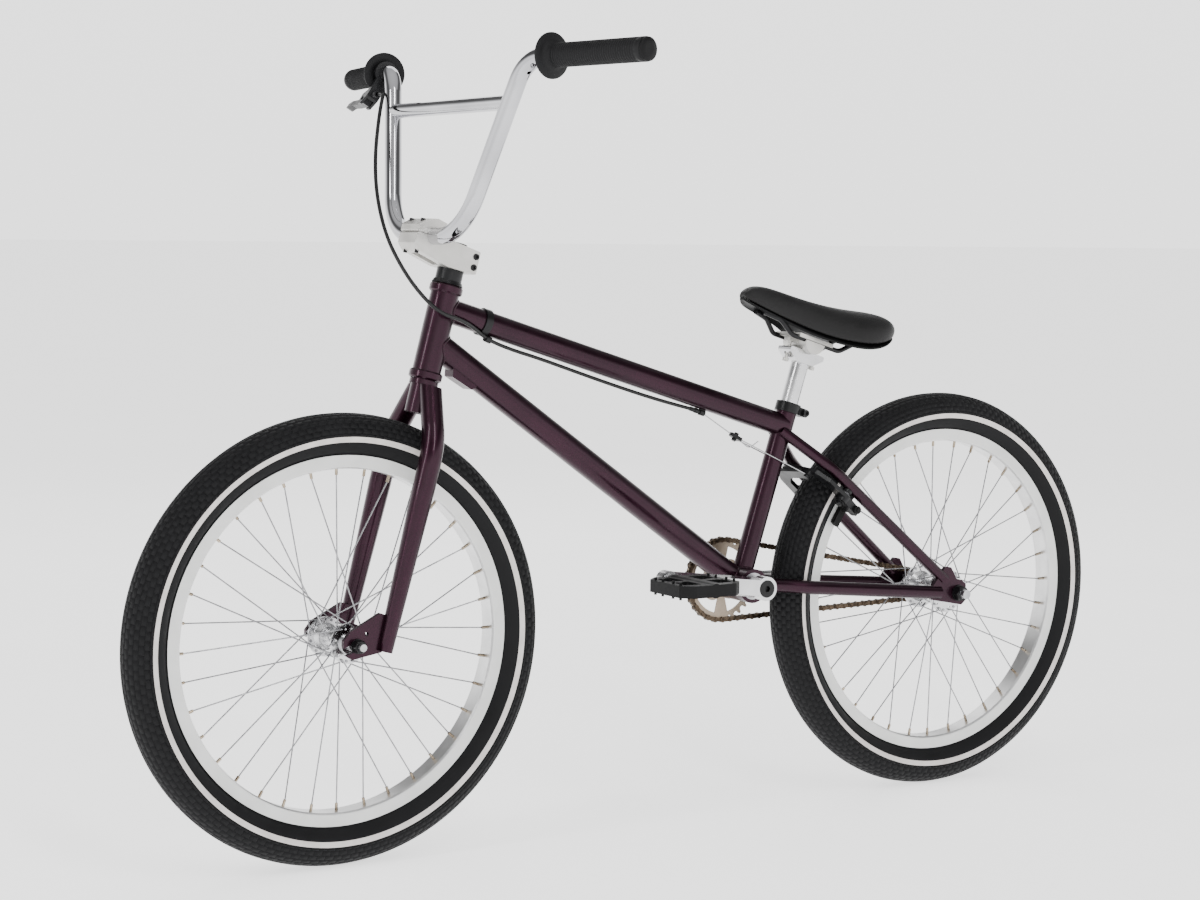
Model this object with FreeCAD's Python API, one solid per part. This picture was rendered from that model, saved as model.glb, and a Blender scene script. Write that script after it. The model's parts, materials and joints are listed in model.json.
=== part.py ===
import FreeCAD, Part
import math
import os

# BMX bike with 22-inch wheels.
# +X points forward, +Y to the bike's left and +Z up. The origin is on the ground, midway
# between the two axles. All sizes are in millimetres and all angles in degrees.

V = FreeCAD.Vector

# ---- driving dimensions -------------------------------------------------------------------
wheelbase = 966.5
tyre_radius = 286.0
tyre_half_width = 29.0
rim_radius = 234.0
rim_base_radius = 217.0
rim_half_width = 16.0
spoke_count = 36

head_top = V(327.6, 0, 730)
head_tilt = 15.0
head_length = 124.0
head_radius = 18.5
head_ring_radius = 21.5
steerer_radius = 14.3

bottom_bracket = V(-137.2, 0, 316)
seat_tilt = 18.2
seat_tube_radius = 14.3
post_radius = 12.7
top_tube_radius = 15.9
down_tube_radius = 17.45
top_tube_front = V(335.4, 0, 701)
top_tube_rear = V(-208.6, 0, 533.3)
down_tube_front = V(334, 0, 648.8)

rear_spacing = 110.0
front_spacing = 100.0
dropout_thickness = 6.0
rear_axle_radius = 7.0
front_axle_radius = 4.76
rear_end_radius = 6.6
front_end_radius = 4.6

chain_pitch = 12.7
sprocket_teeth = 28
cog_teeth = 10
chain_line = -43.0
crank_length = 172.0
crank_angle = 8.0

bar_radius = 11.1
bar_forward = 44.9
bar_up = 52.0
bar_lower_corner = 90.0
bar_upper_corner = V(314.5, 171.5, 1008.3)
bar_end = V(271.5, 369.5, 1009)
crossbar_height = 955.0
grip_radius = 14.8
flange_radius = 28.0

saddle_tilt = 17.0
saddle_pivot = V(-243.5, 0, 649.5)

stay_angle = 40.3
brake_pivot_radius = 250.0
brake_pivot_side = 47.0

# ---- derived places -----------------------------------------------------------------------
front_axle = V(wheelbase / 2, 0, tyre_radius)
rear_axle = V(-wheelbase / 2, 0, tyre_radius)
sprocket_pitch_radius = chain_pitch / (2 * math.sin(math.pi / sprocket_teeth))
cog_pitch_radius = chain_pitch / (2 * math.sin(math.pi / cog_teeth))
brake_tilt = stay_angle - 90.0

os.makedirs("parts", exist_ok=True)


# ---- helpers ------------------------------------------------------------------------------
def save(name, *solids):
    """Write one node: a single solid, or a group of separate ones."""
    shape = solids[0] if len(solids) == 1 else Part.makeCompound(list(solids))
    shape.exportStep(f"parts/{name}.step")
    print(f"{name}: {len(shape.Solids)} solid(s), {shape.Volume / 1000:.1f} cm3, valid {shape.isValid()}")


def rod(start, end, radius):
    return Part.makeCylinder(radius, (end - start).Length, start, end - start)


def tube(start, end, outer, inner):
    return rod(start, end, outer).cut(rod(start, end, inner))


def taper(start, end, start_radius, end_radius):
    return Part.makeCone(start_radius, end_radius, (end - start).Length, start, end - start)


def fuse(solids):
    whole = solids[0].multiFuse(solids[1:]) if len(solids) > 1 else solids[0]
    return whole.removeSplitter()


def mirrored(shape):
    """The same shape on the other side of the bike."""
    return shape.mirror(V(0, 0, 0), V(0, 1, 0))


def tilted(shape, origin, degrees):
    """Turn a shape built at the origin so that its X axis points up by an angle, then move it."""
    turned = shape.copy()
    turned.rotate(V(0, 0, 0), V(0, 1, 0), -degrees)
    turned.translate(origin)
    return turned


def tilted_point(x, y, z, origin, degrees):
    angle = math.radians(degrees)
    forward = x * math.cos(angle) - z * math.sin(angle)
    up = x * math.sin(angle) + z * math.cos(angle)
    return origin + V(forward, y, up)


def steering_point(ahead, side, up):
    """A point measured from the head tube's top, along and across the steering axis."""
    return tilted_point(ahead, side, up, head_top, head_tilt)


def seat_point(ahead, side, up):
    """A point measured from the bottom bracket, along and across the seat tube."""
    return tilted_point(ahead, side, up, bottom_bracket, seat_tilt)


def brake_point(ahead, side, up):
    """A point measured from the rear axle, where up runs along the seat stays."""
    return tilted_point(ahead, side, up, rear_axle, brake_tilt)


def saddle_point(ahead, side, up):
    return tilted_point(ahead, side, up, saddle_pivot, saddle_tilt)


def corner_arc(before, point, after, radius):
    """Start, middle and end of the arc that rounds one corner."""
    back = (before - point).normalize()
    ahead = (after - point).normalize()
    half_angle = back.getAngle(ahead) / 2
    reach = radius / math.tan(half_angle)
    inward = (back + ahead).normalize()
    middle = point + inward * (radius / math.sin(half_angle) - radius)
    return point + back * reach, middle, point + ahead * reach


def rounded_path(points, radii):
    """An open wire of straight runs joined by tangent arcs."""
    edges = []
    last = points[0]
    for number, radius in enumerate(radii, start=1):
        start, middle, end = corner_arc(points[number - 1], points[number], points[number + 1], radius)
        edges.append(Part.LineSegment(last, start).toShape())
        edges.append(Part.Arc(start, middle, end).toShape())
        last = end
    edges.append(Part.LineSegment(last, points[-1]).toShape())
    return Part.Wire(edges)


def rounded_outline(points, radius):
    """A closed wire of straight sides with every corner rounded."""
    edges = []
    count = len(points)
    arcs = [corner_arc(points[i - 1], points[i], points[(i + 1) % count], radius) for i in range(count)]
    for number, (start, middle, end) in enumerate(arcs):
        edges.append(Part.Arc(start, middle, end).toShape())
        edges.append(Part.LineSegment(end, arcs[(number + 1) % count][0]).toShape())
    return Part.Wire(edges)


def bent_rod(points, radii, radius):
    path = rounded_path(points, radii)
    section = Part.Wire(Part.makeCircle(radius, points[0], points[1] - points[0]))
    return path.makePipeShell([section], True, False)


def plate(outline, side, thickness, radius=0.0):
    """A flat plate: an outline of (x, z) pairs, from one side position, thickened along Y."""
    points = [V(x, side, z) for x, z in outline]
    wire = rounded_outline(points, radius) if radius else Part.makePolygon(points + points[:1])
    return Part.Face(wire).extrude(V(0, thickness, 0))


def ring(outer, inner, start, length):
    """A ring about the Y axis at the origin."""
    return tube(V(0, start, 0), V(0, start + length, 0), outer, inner)


def revolved(outline):
    """A ring about the Y axis, from the (radius, side) outline of its section."""
    points = [V(radius, side, 0) for radius, side in outline]
    face = Part.Face(Part.makePolygon(points + points[:1]))
    return face.revolve(V(0, 0, 0), V(0, 1, 0), 360)


def around_y(shape, degrees):
    turned = shape.copy()
    turned.rotate(V(0, 0, 0), V(0, 1, 0), degrees)
    return turned


def moved(shape, offset):
    copy = shape.copy()
    copy.translate(offset)
    return copy


def hex_nut(across_flats, bore, start, length):
    """A hexagonal nut about the Y axis, with the corners of its outer face turned down."""
    corner = across_flats / math.sqrt(3)
    points = [V(corner * math.cos(i * math.pi / 3), start, corner * math.sin(i * math.pi / 3))
              for i in range(6)]
    body = Part.Face(Part.makePolygon(points + points[:1])).extrude(V(0, length, 0))
    chamfer = taper(V(0, start, 0), V(0, start + length, 0), corner + length / 2, across_flats / 2 * 0.96)
    return body.common(chamfer).cut(rod(V(0, start - 1, 0), V(0, start + length + 1, 0), bore))


# ---- frame --------------------------------------------------------------------------------
def seat_tube_axis(start, end):
    return seat_point(0, 0, start), seat_point(0, 0, end)


seat_tube_length = 256.0
shell_radius = 23.5
shell_half_width = 34.0

head_outside = rod(steering_point(0, 0, -head_length), steering_point(0, 0, 0), head_radius)
seat_outside = rod(*seat_tube_axis(0, seat_tube_length), seat_tube_radius)
shell_outside = rod(bottom_bracket - V(0, 60, 0), bottom_bracket + V(0, 60, 0), shell_radius)


def make_head_tube():
    """The tube with a thicker ring at each end, bored out for the bearings."""
    ring_height = 11.0
    lip = 2.0
    body = [head_outside]
    for low, high in ((-ring_height, 0), (-head_length, -head_length + ring_height)):
        body.append(rod(steering_point(0, 0, low + lip), steering_point(0, 0, high - lip),
                        head_ring_radius))
        body.append(taper(steering_point(0, 0, low), steering_point(0, 0, low + lip),
                          19.9, head_ring_radius))
        body.append(taper(steering_point(0, 0, high - lip), steering_point(0, 0, high),
                          head_ring_radius, 19.9))
    whole = fuse(body).cut(rod(steering_point(0, 0, -130), steering_point(0, 0, 5), 16.2))
    for low, high in ((-8.2, 1), (-head_length - 1, -head_length + 8.2)):
        whole = whole.cut(rod(steering_point(0, 0, low), steering_point(0, 0, high), 19.05))
    return whole


def make_top_tube():
    outer = rod(top_tube_front, top_tube_rear, top_tube_radius)
    inner = rod(top_tube_front, top_tube_rear, top_tube_radius - 1.2)
    return largest(outer.cut(inner).cut(fuse([head_outside])).cut(seat_outside))


def largest(shape):
    """The biggest solid left after a tube has been mitred."""
    return max(shape.Solids, key=lambda solid: solid.Volume)


def make_down_tube():
    """The down tube with the small gusset welded under its front end."""
    direction = (down_tube_front - bottom_bracket).normalize()
    below = V(direction.z, 0, -direction.x)
    mitred_end = down_tube_front + direction * 16
    outer = rod(mitred_end, bottom_bracket, down_tube_radius)
    gusset_front = down_tube_front - direction * 20 + below * 10
    corners = [
        gusset_front,
        gusset_front - direction * 46,
        gusset_front - direction * 41 + below * 11.5,
        gusset_front - direction * 8 + below * 13.5,
    ]
    gusset_outline = [(point.x, point.z) for point in corners]
    gusset = plate(gusset_outline, -11, 22, 1.8)
    inner = rod(mitred_end, bottom_bracket, down_tube_radius - 1.3)
    shell_end = rod(bottom_bracket - V(0, 60, 0), bottom_bracket + V(0, 60, 0), shell_radius)
    whole = outer.fuse(gusset).cut(inner).cut(head_outside).cut(shell_end).cut(seat_outside)
    return largest(whole)


def make_seat_tube():
    outer = rod(*seat_tube_axis(0, seat_tube_length), seat_tube_radius)
    inner = rod(*seat_tube_axis(-5, seat_tube_length + 5), post_radius + 0.05)
    slot = plate([(-20, seat_tube_length - 22), (-8, seat_tube_length - 22), (-8, 270), (-20, 270)],
                 -0.8, 1.6)
    return largest(outer.cut(inner).cut(tilted(slot, bottom_bracket, seat_tilt)).cut(shell_outside))


def make_bottom_bracket_shell():
    """A plain shell, opened at each end to take a pressed bearing."""
    body = ring(shell_radius, 15.5, -shell_half_width, 2 * shell_half_width)
    for start in (-shell_half_width, shell_half_width - 8):
        body = body.cut(ring(18.55, 5, start, 8))
    return moved(body, bottom_bracket)


def make_frame_bearings():
    """Two headset bearings and two bottom bracket bearings."""
    bearings = []
    for low, high in ((-8, -1), (-head_length + 1, -head_length + 8)):
        start = steering_point(0, 0, low)
        bearings.append(tube(start, steering_point(0, 0, high), 19.0, steerer_radius + 0.08))
    for side in (-shell_half_width + 0.2, shell_half_width - 7.7):
        bearings.append(moved(ring(18.5, 9.56, side, 7.5), bottom_bracket))
    return bearings


chain_stay_radius = 9.5
seat_stay_radius = 7.95
stay_end_side = (rear_spacing + dropout_thickness) / 2


def make_chain_stay(side):
    """A stay that jogs outward between the sprocket and the tyre."""
    points = [
        bottom_bracket + V(-12, 23 * side, 0),
        bottom_bracket + V(-62, 30.5 * side, -4),
        bottom_bracket + V(-92, 43.5 * side, -7),
        rear_axle + V(33, stay_end_side * side, 2.5),
    ]
    stay = bent_rod(points, [60, 60], chain_stay_radius)
    hollow = bent_rod(points, [60, 60], chain_stay_radius - 1.3)
    cap = rod(points[-1] + V(10, 0, 0), points[-1], chain_stay_radius)
    return largest(stay.cut(hollow).fuse(stay.common(cap)).cut(shell_outside).cut(dropout_blank(side)))


def seat_stay_points(side):
    return [
        brake_point(0, 10 * side, 372),
        brake_point(0, 46.5 * side, 290),
        brake_point(0, stay_end_side * side, 32),
    ]


def make_seat_stay(side):
    points = seat_stay_points(side)
    stay = bent_rod(points, [90], seat_stay_radius)
    hollow = bent_rod(points, [90], seat_stay_radius - 1.1)
    cap = stay.common(rod(brake_point(0, stay_end_side * side, 42), points[-1], seat_stay_radius + 2))
    whole = stay.cut(hollow).fuse(cap).cut(seat_outside).cut(dropout_blank(side))
    return largest(whole.cut(rod(top_tube_front, top_tube_rear, top_tube_radius)))


def dropout_blank(side):
    """The plate at one end of the rear axle, before its slot is cut."""
    outline = [(52, -6), (50, 10), (24, 40), (14, 38), (4, 21), (-6, 18.5), (-14, 12), (-14, -11),
               (-6, -17.5)]
    start = rear_spacing / 2 if side > 0 else -rear_spacing / 2 - dropout_thickness
    return moved(plate(outline, start, dropout_thickness, 3.5), rear_axle)


def make_rear_dropout(side):
    slot = plate([(-50, -7.15), (0, -7.15), (0, 7.15), (-50, 7.15)], -80, 160)
    seat = rod(V(0, -80, 0), V(0, 80, 0), 7.15)
    return dropout_blank(side).cut(moved(slot, rear_axle)).cut(moved(seat, rear_axle))


def make_brake_boss(side):
    """A stud on the seat stay with the bolt and washer that hold one brake arm on it."""
    base = brake_point(6.5, brake_pivot_side * side, brake_pivot_radius)
    foot = rod(base, brake_point(11, brake_pivot_side * side, brake_pivot_radius), 7.5)
    post = rod(base, brake_point(27.2, brake_pivot_side * side, brake_pivot_radius), 5.0)
    washer_start = brake_point(27.2, brake_pivot_side * side, brake_pivot_radius)
    washer = rod(washer_start, brake_point(28.4, brake_pivot_side * side, brake_pivot_radius), 8.0)
    head = rod(washer_start, brake_point(32, brake_pivot_side * side, brake_pivot_radius), 4.8)
    stay = bent_rod(seat_stay_points(side), [90], seat_stay_radius)
    return fuse([foot, post, washer, head]).cut(stay)


def make_brake_spring(side):
    """The coil spring round the stud, which opens the arm."""
    steps = 10
    points = []
    for number in range(2 * steps + 1):
        angle = 2 * math.pi * number / steps
        depth = 11.75 + 2.6 * number / (2 * steps)
        across = brake_pivot_side * side + 6.6 * math.cos(angle)
        points.append(brake_point(depth, across, brake_pivot_radius + 6.6 * math.sin(angle)))
    return bent_rod(points, [5.5] * (len(points) - 2), 0.55)


# ---- chain, sprocket and cog --------------------------------------------------------------
centre_line = rear_axle - bottom_bracket
centre_line_angle = math.atan2(centre_line.z, centre_line.x)
sprocket_wraps = 15
cog_wraps = 5
free_links = 27


def chain_pins():
    """Pin centres of the closed chain, going once round from the sprocket's upper tangent."""
    pins = []
    for number in range(sprocket_wraps + 1):
        angle = math.pi + (number - sprocket_wraps / 2) * 2 * math.pi / sprocket_teeth
        pins.append((sprocket_pitch_radius * math.cos(angle), sprocket_pitch_radius * math.sin(angle)))
    cog_pins = []
    for number in range(cog_wraps + 1):
        angle = (number - cog_wraps / 2) * 2 * math.pi / cog_teeth
        cog_pins.append((centre_line.Length + cog_pitch_radius * math.cos(angle),
                         cog_pitch_radius * math.sin(angle)))
    whole = list(pins)
    for start, end in ((pins[-1], cog_pins[0]), (cog_pins[-1], pins[0])):
        for number in range(1, free_links):
            share = number / free_links
            whole.append((start[0] + (end[0] - start[0]) * share, start[1] + (end[1] - start[1]) * share))
        if start is pins[-1]:
            whole.extend(cog_pins)
    turn_cos = math.cos(centre_line_angle)
    turn_sin = math.sin(centre_line_angle)
    return [bottom_bracket + V(x * turn_cos - z * turn_sin, chain_line, x * turn_sin + z * turn_cos)
            for x, z in whole]


def link_plate(side, thickness, radius):
    """One link plate, along X from its first pin to its second."""
    ends = [rod(V(x, side, 0), V(x, side + thickness, 0), radius) for x in (0, chain_pitch)]
    waist = Part.makeBox(chain_pitch, thickness, radius * 1.5, V(0, side, -radius * 0.75))
    return fuse(ends + [waist])


def make_link(outer):
    if outer:
        pieces = [link_plate(2.75, 0.95, 4.1), link_plate(-3.7, 0.95, 4.1)]
        pieces += [rod(V(x, -4.3, 0), V(x, 4.3, 0), 1.75) for x in (0, chain_pitch)]
        return fuse(pieces)
    pieces = [link_plate(1.65, 0.95, 4.0), link_plate(-2.6, 0.95, 4.0)]
    pieces += [rod(V(x, -1.7, 0), V(x, 1.7, 0), 3.85) for x in (0, chain_pitch)]
    body = fuse(pieces)
    for x in (0, chain_pitch):
        body = body.cut(rod(V(x, -3, 0), V(x, 3, 0), 1.82))
    return body


def make_chain():
    pins = chain_pins()
    outer_link = make_link(True)
    inner_link = make_link(False)
    links = []
    for number, pin in enumerate(pins):
        following = pins[(number + 1) % len(pins)]
        span = following - pin
        link = (outer_link if number % 2 else inner_link).copy()
        link.rotate(V(0, 0, 0), V(0, 1, 0), -math.degrees(math.atan2(span.z, span.x)))
        link.translate(pin)
        links.append(link)
    lengths = [(pins[i] - pins[i - 1]).Length for i in range(len(pins))]
    print(f"chain: {len(pins)} links, pitch {min(lengths):.3f} to {max(lengths):.3f}")
    return links


def toothed_disc(teeth, pitch_radius, thickness, gap_at, flare):
    """A disc about the Y axis whose tooth gaps hold the chain's rollers."""
    tip_radius = pitch_radius + 2.6
    disc = ring(tip_radius, 1.0, -thickness / 2, thickness)
    roller = rod(V(pitch_radius, -thickness, 0), V(pitch_radius, thickness, 0), 4.05)
    mouth = plate([(pitch_radius, -4.05), (pitch_radius + 5, -flare), (pitch_radius + 5, flare),
                   (pitch_radius, 4.05)],
                  -thickness, 2 * thickness)
    gap = roller.fuse(mouth)
    gaps = [around_y(gap, -math.degrees(gap_at) - number * 360 / teeth) for number in range(teeth)]
    return disc.cut(Part.makeCompound(gaps))


def make_sprocket():
    first_gap = centre_line_angle + math.pi + math.pi / sprocket_teeth
    disc = toothed_disc(sprocket_teeth, sprocket_pitch_radius, 2.6, first_gap, 6.8)
    hub = ring(24.5, 5, -4.2, 6.5)
    disc = disc.fuse(hub)
    for number in range(4):
        window_ring = ring(47, 26, -5, 10)
        wedge = plate([(0, 0), (80, -50), (80, 50)], -5, 10)
        window = window_ring.common(wedge).cut(rod(V(20, -6, 0), V(20, 6, 0), 14))
        disc = disc.cut(around_y(window, 45 + number * 90))
    disc = disc.cut(ring(9.62, 0.5, -6, 12))
    bolt_hole = rod(V(-18.5, -6, 0), V(-18.5, 6, 0), 4.05)
    disc = disc.cut(around_y(bolt_hole, -crank_angle))
    return moved(disc, bottom_bracket + V(0, chain_line, 0))


def make_driver_cog():
    """The ten-tooth cog and the sleeve that it is one piece with."""
    first_gap = centre_line_angle + math.pi / cog_teeth
    cog = toothed_disc(cog_teeth, cog_pitch_radius, 2.6, first_gap, 8.0)
    sleeve = ring(15.2, 5, -7, 16.4)
    return moved(cog.fuse(sleeve).cut(ring(11.0, 0.5, -8, 20)), rear_axle + V(0, chain_line, 0))


# ---- cranks and pedals --------------------------------------------------------------------
def crank_turned(shape):
    return moved(around_y(shape, -crank_angle), bottom_bracket)


arm_thickness = 14.5
arm_inner = 50.0
arm_flare = 15.0


def make_crank_arm(side):
    """A forged arm that flares outward from the spindle to the pedal."""
    sections = []
    for x, height, inner in ((4, 28, arm_inner), (crank_length - 6, 24, arm_inner + arm_flare)):
        corners = [V(x, inner, -height / 2), V(x, inner + arm_thickness, -height / 2 + 3),
                   V(x, inner + arm_thickness, height / 2 - 3), V(x, inner, height / 2)]
        sections.append(Part.makePolygon(corners + corners[:1]))
    web = Part.makeLoft(sections, True, True)
    boss = rod(V(0, arm_inner - 2, 0), V(0, arm_inner + arm_thickness + 1, 0), 16.5)
    eye_inner = arm_inner + arm_flare
    eye = rod(V(crank_length, eye_inner, 0), V(crank_length, eye_inner + arm_thickness, 0), 13.5)
    arm = fuse([web, boss, eye])
    arm = arm.cut(rod(V(0, 0, 0), V(0, 90, 0), 9.5))
    arm = arm.cut(rod(V(crank_length, 50, 0), V(crank_length, 90, 0), 7.1))
    arm = arm.cut(rod(V(0, arm_inner + arm_thickness - 3, 0), V(0, 90, 0), 12.2))
    if side < 0:
        arm = around_y(mirrored(arm), 180)
        arm = arm.cut(rod(V(-18.5, -63, 0), V(-18.5, 0, 0), 4.05))
    return crank_turned(arm)


def make_spindle():
    length = arm_inner + 10
    return moved(ring(9.5, 6.0, -length, 2 * length), bottom_bracket)


def make_sprocket_bolt():
    """The bolt that drives the sprocket from the right crank arm."""
    shank = rod(V(-18.5, -62, 0), V(-18.5, chain_line + 2.3, 0), 4.0)
    head = rod(V(-18.5, chain_line + 2.3, 0), V(-18.5, chain_line + 5.3, 0), 6.0)
    return crank_turned(shank.fuse(head).removeSplitter())


def make_crank_bolt(side):
    start = arm_inner + arm_thickness - 3
    head = rod(V(0, start, 0), V(0, start + 5, 0), 11.8)
    shank = rod(V(0, arm_inner, 0), V(0, start + 1, 0), 5.9)
    socket = hex_nut(8, 0.01, start + 1, 10)
    bolt = head.fuse(shank).cut(socket)
    return moved(bolt if side > 0 else mirrored(bolt), bottom_bracket)


pedal_side = 137.0
pedal_half_width = 49.0
pedal_half_length = 47.0


def make_pedal_axle(side):
    """The pedal's spindle: it screws into the crank's eye and carries the pedal."""
    inner = arm_inner + arm_flare
    thread = rod(V(0, inner + 0.5, 0), V(0, inner + arm_thickness, 0), 7.1)
    collar = rod(V(0, inner + arm_thickness, 0), V(0, inner + arm_thickness + 4, 0), 9.0)
    shaft = rod(V(0, inner + arm_thickness, 0), V(0, pedal_side + 38, 0), 5.0)
    axle = moved(fuse([thread, collar, shaft]), V(crank_length, 0, 0))
    if side < 0:
        axle = around_y(mirrored(axle), 180)
    return crank_turned(axle)


def make_pedal_body():
    """A flat platform with open windows, level with the ground."""
    low = pedal_side - pedal_half_width
    high = pedal_side + pedal_half_width
    outline = [V(-pedal_half_length, low + 14, -8), V(-pedal_half_length + 15, low, -8),
               V(pedal_half_length - 15, low, -8), V(pedal_half_length, low + 14, -8),
               V(pedal_half_length, high - 14, -8), V(pedal_half_length - 15, high, -8),
               V(-pedal_half_length + 15, high, -8), V(-pedal_half_length, high - 14, -8)]
    body = Part.Face(rounded_outline(outline, 5)).extrude(V(0, 0, 16))
    for sign in (-1, 1):
        inner = 13.5
        outer = pedal_half_length - 9
        for start, end in ((low + 13, pedal_side - 4), (pedal_side + 4, high - 13)):
            corners = [V(sign * inner, start, -10), V(sign * outer, start + 3, -10),
                       V(sign * outer, end - 3, -10), V(sign * inner, end, -10)]
            body = body.cut(Part.Face(rounded_outline(corners, 3)).extrude(V(0, 0, 20)))
    body = body.fuse(rod(V(0, low, 0), V(0, high, 0), 9.5))
    body = body.cut(rod(V(0, low - 5, 0), V(0, high - 8, 0), 5.06))
    pins = []
    for x in (-pedal_half_length + 5, pedal_half_length - 5):
        for y in (low + 20, pedal_side - 12, pedal_side + 12, high - 20):
            pins.append(rod(V(x, y, -11.5), V(x, y, 11.5), 1.8))
    return fuse([body] + pins)


def make_pedal(side):
    body = make_pedal_body()
    reach = crank_length
    angle = math.radians(crank_angle)
    if side < 0:
        body = mirrored(body)
        reach = -crank_length
    return moved(body, bottom_bracket + V(reach * math.cos(angle), 0, reach * math.sin(angle)))


# ---- wheels -------------------------------------------------------------------------------
def tyre_section():
    """Half of the tyre's wall section as arcs, outside then inside, with the bead between."""
    bead = rim_radius - 5.0
    belly = 259.0
    outer_crown = Part.Arc(V(tyre_radius, 0, 0), V(278.1, 20.4, 0), V(belly, tyre_half_width, 0))
    outer_wall = Part.Arc(V(belly, tyre_half_width, 0), V(244.5, 24.0, 0), V(rim_radius + 0.6, 13.7, 0))
    inner_wall = Part.Arc(V(rim_radius, 10.2, 0), V(244.5, 20.6, 0), V(belly, tyre_half_width - 3, 0))
    inner_crown = Part.Arc(V(belly, tyre_half_width - 3, 0), V(275.2, 17.9, 0), V(tyre_radius - 4.5, 0, 0))
    lines = [
        Part.LineSegment(V(rim_radius + 0.6, 13.7, 0), V(bead, 13.7, 0)),
        Part.LineSegment(V(bead, 13.7, 0), V(bead, 10.2, 0)),
        Part.LineSegment(V(bead, 10.2, 0), V(rim_radius, 10.2, 0)),
    ]
    return [outer_crown, outer_wall] + lines + [inner_wall, inner_crown]


def make_tyre():
    half = [piece.toShape() for piece in tyre_section()]
    closing = Part.LineSegment(V(tyre_radius - 4.5, 0, 0), V(tyre_radius, 0, 0)).toShape()
    face = Part.Face(Part.Wire(half + [closing]))
    solid = face.revolve(V(0, 0, 0), V(0, 1, 0), 360)
    return solid.fuse(mirrored(solid)).removeSplitter()


front_valve_angle = -123.5
rear_valve_angle = -5.0


def make_inner_tube(valve_angle):
    """The rubber tube with its valve, whose bore opens into the tube."""
    outside = Part.makeTorus(256, 21.4, V(0, 0, 0), V(0, 1, 0))
    inside = Part.makeTorus(256, 19.8, V(0, 0, 0), V(0, 1, 0))
    stem = rod(V(240, 0, 0), V(196, 0, 0), 3.9)
    cap = rod(V(196, 0, 0), V(186, 0, 0), 4.4)
    bore = rod(V(250, 0, 0), V(180, 0, 0), 1.3)
    whole = outside.fuse(stem).fuse(cap).cut(inside).cut(bore)
    return around_y(whole, valve_angle)


def rim_hole_angles():
    return [number * 360 / spoke_count for number in range(spoke_count)]


def make_rim(valve_angle):
    base = rim_base_radius
    half = [(base, 12.6), (base + 1.6, 15.4), (base + 3.2, rim_half_width), (rim_radius, rim_half_width),
            (rim_radius, 13.9), (base + 6, 13.9), (base + 3.6, 11.0)]
    outline = half + [(radius, -side) for radius, side in reversed(half)]
    solid = revolved(outline)
    drills = []
    for number, angle in enumerate(rim_hole_angles()):
        side = 1.8 if number % 2 == 0 else -1.8
        drills.append(around_y(rod(V(base - 4, side, 0), V(base + 6, side, 0), 2.2), -angle))
    drills.append(around_y(rod(V(base - 4, 0, 0), V(base + 6, 0, 0), 4.1), valve_angle))
    return solid.cut(Part.makeCompound(drills))


nipple_start = 208.0


def make_spokes(flange_left, flange_right, hole_radius):
    """Thirty-six spokes crossed three times, each with its elbow, head and nipple."""
    solids = []
    for number, rim_angle in enumerate(rim_hole_angles()):
        left = number % 2 == 0
        leading = (number // 2) % 2 == 0
        flange = flange_left if left else flange_right
        outward = 1 if left else -1
        rim_side = 1.8 * outward
        face = 5.2 if leading else -2.5
        hub_angle = math.radians(rim_angle + (60 if leading else -60))
        rim_direction = V(math.cos(math.radians(rim_angle)), 0, math.sin(math.radians(rim_angle)))
        hub_hole = V(hole_radius * math.cos(hub_angle), flange, hole_radius * math.sin(hub_angle))
        start = hub_hole + V(0, face * outward, 0)
        end = rim_direction * nipple_start + V(0, rim_side, 0)
        back = hub_hole - V(0, math.copysign(1.55, face * outward), 0)
        shaft = rod(start, end, 0.9)
        elbow = rod(start, back, 0.9)
        knuckle = Part.makeSphere(0.9, start)
        head = rod(back, back - V(0, math.copysign(0.8, face * outward), 0), 1.8)
        solids.append(fuse([shaft, elbow, knuckle, head]))
        nipple_end = rim_direction * (rim_base_radius + 3.4) + V(0, rim_side, 0)
        body = rod(end, nipple_end, 1.9)
        solids.append(body)
    return solids


def make_hub(left_end, right_end, flange_left, flange_right, flange_radius_, shell, bore, hole_radius):
    """A hub shell with two drilled flanges, bored through for its bearings."""
    body = [ring(shell, 1, right_end, left_end - right_end)]
    for flange in (flange_left, flange_right):
        body.append(ring(flange_radius_, 1, flange - 1.5, 3.0))
        inward = -1 if flange > 0 else 1
        foot = flange + 1.4 * inward
        body.append(taper(V(0, foot, 0), V(0, foot + 5 * inward, 0), shell + 4.5, shell))
    whole = fuse(body).cut(rod(V(0, right_end - 1, 0), V(0, left_end + 1, 0), bore))
    holes = []
    for flange, offset in ((flange_left, 0), (flange_right, 10)):
        for number in range(spoke_count // 2):
            spoke_hole = rod(V(hole_radius, flange - 3, 0), V(hole_radius, flange + 3, 0), 1.3)
            holes.append(around_y(spoke_hole, -(offset + number * 20)))
        for number in range(6):
            middle = (shell + 5 + hole_radius - 2) / 2
            window = rod(V(middle, flange - 3, 0), V(middle, flange + 3, 0), (hole_radius - shell - 6) / 2)
            holes.append(around_y(window, -(offset + number * 60 + 15)))
    return whole.cut(Part.makeCompound(holes))


front_flange = 32.0
rear_flange_left = 33.0
rear_flange_right = -25.0


def make_front_hub():
    shell = make_hub(38, -38, front_flange, -front_flange, 25.5, 13.0, 11.0, 22.0)
    bearings = [ring(10.98, front_axle_radius + 0.06, start, 7) for start in (-37.5, 30.5)]
    return [shell] + bearings


def make_rear_hub():
    shell = make_hub(38, -33, rear_flange_left, rear_flange_right, 31.5, 18.0, 15.0, 28.0)
    bearings = [ring(14.98, rear_axle_radius + 0.06, start, 8) for start in (-32.5, 29.5)]
    return [shell] + bearings


def at_front(shapes):
    return [moved(shape, front_axle) for shape in shapes]


def at_rear(shapes):
    return [moved(shape, rear_axle) for shape in shapes]


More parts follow.
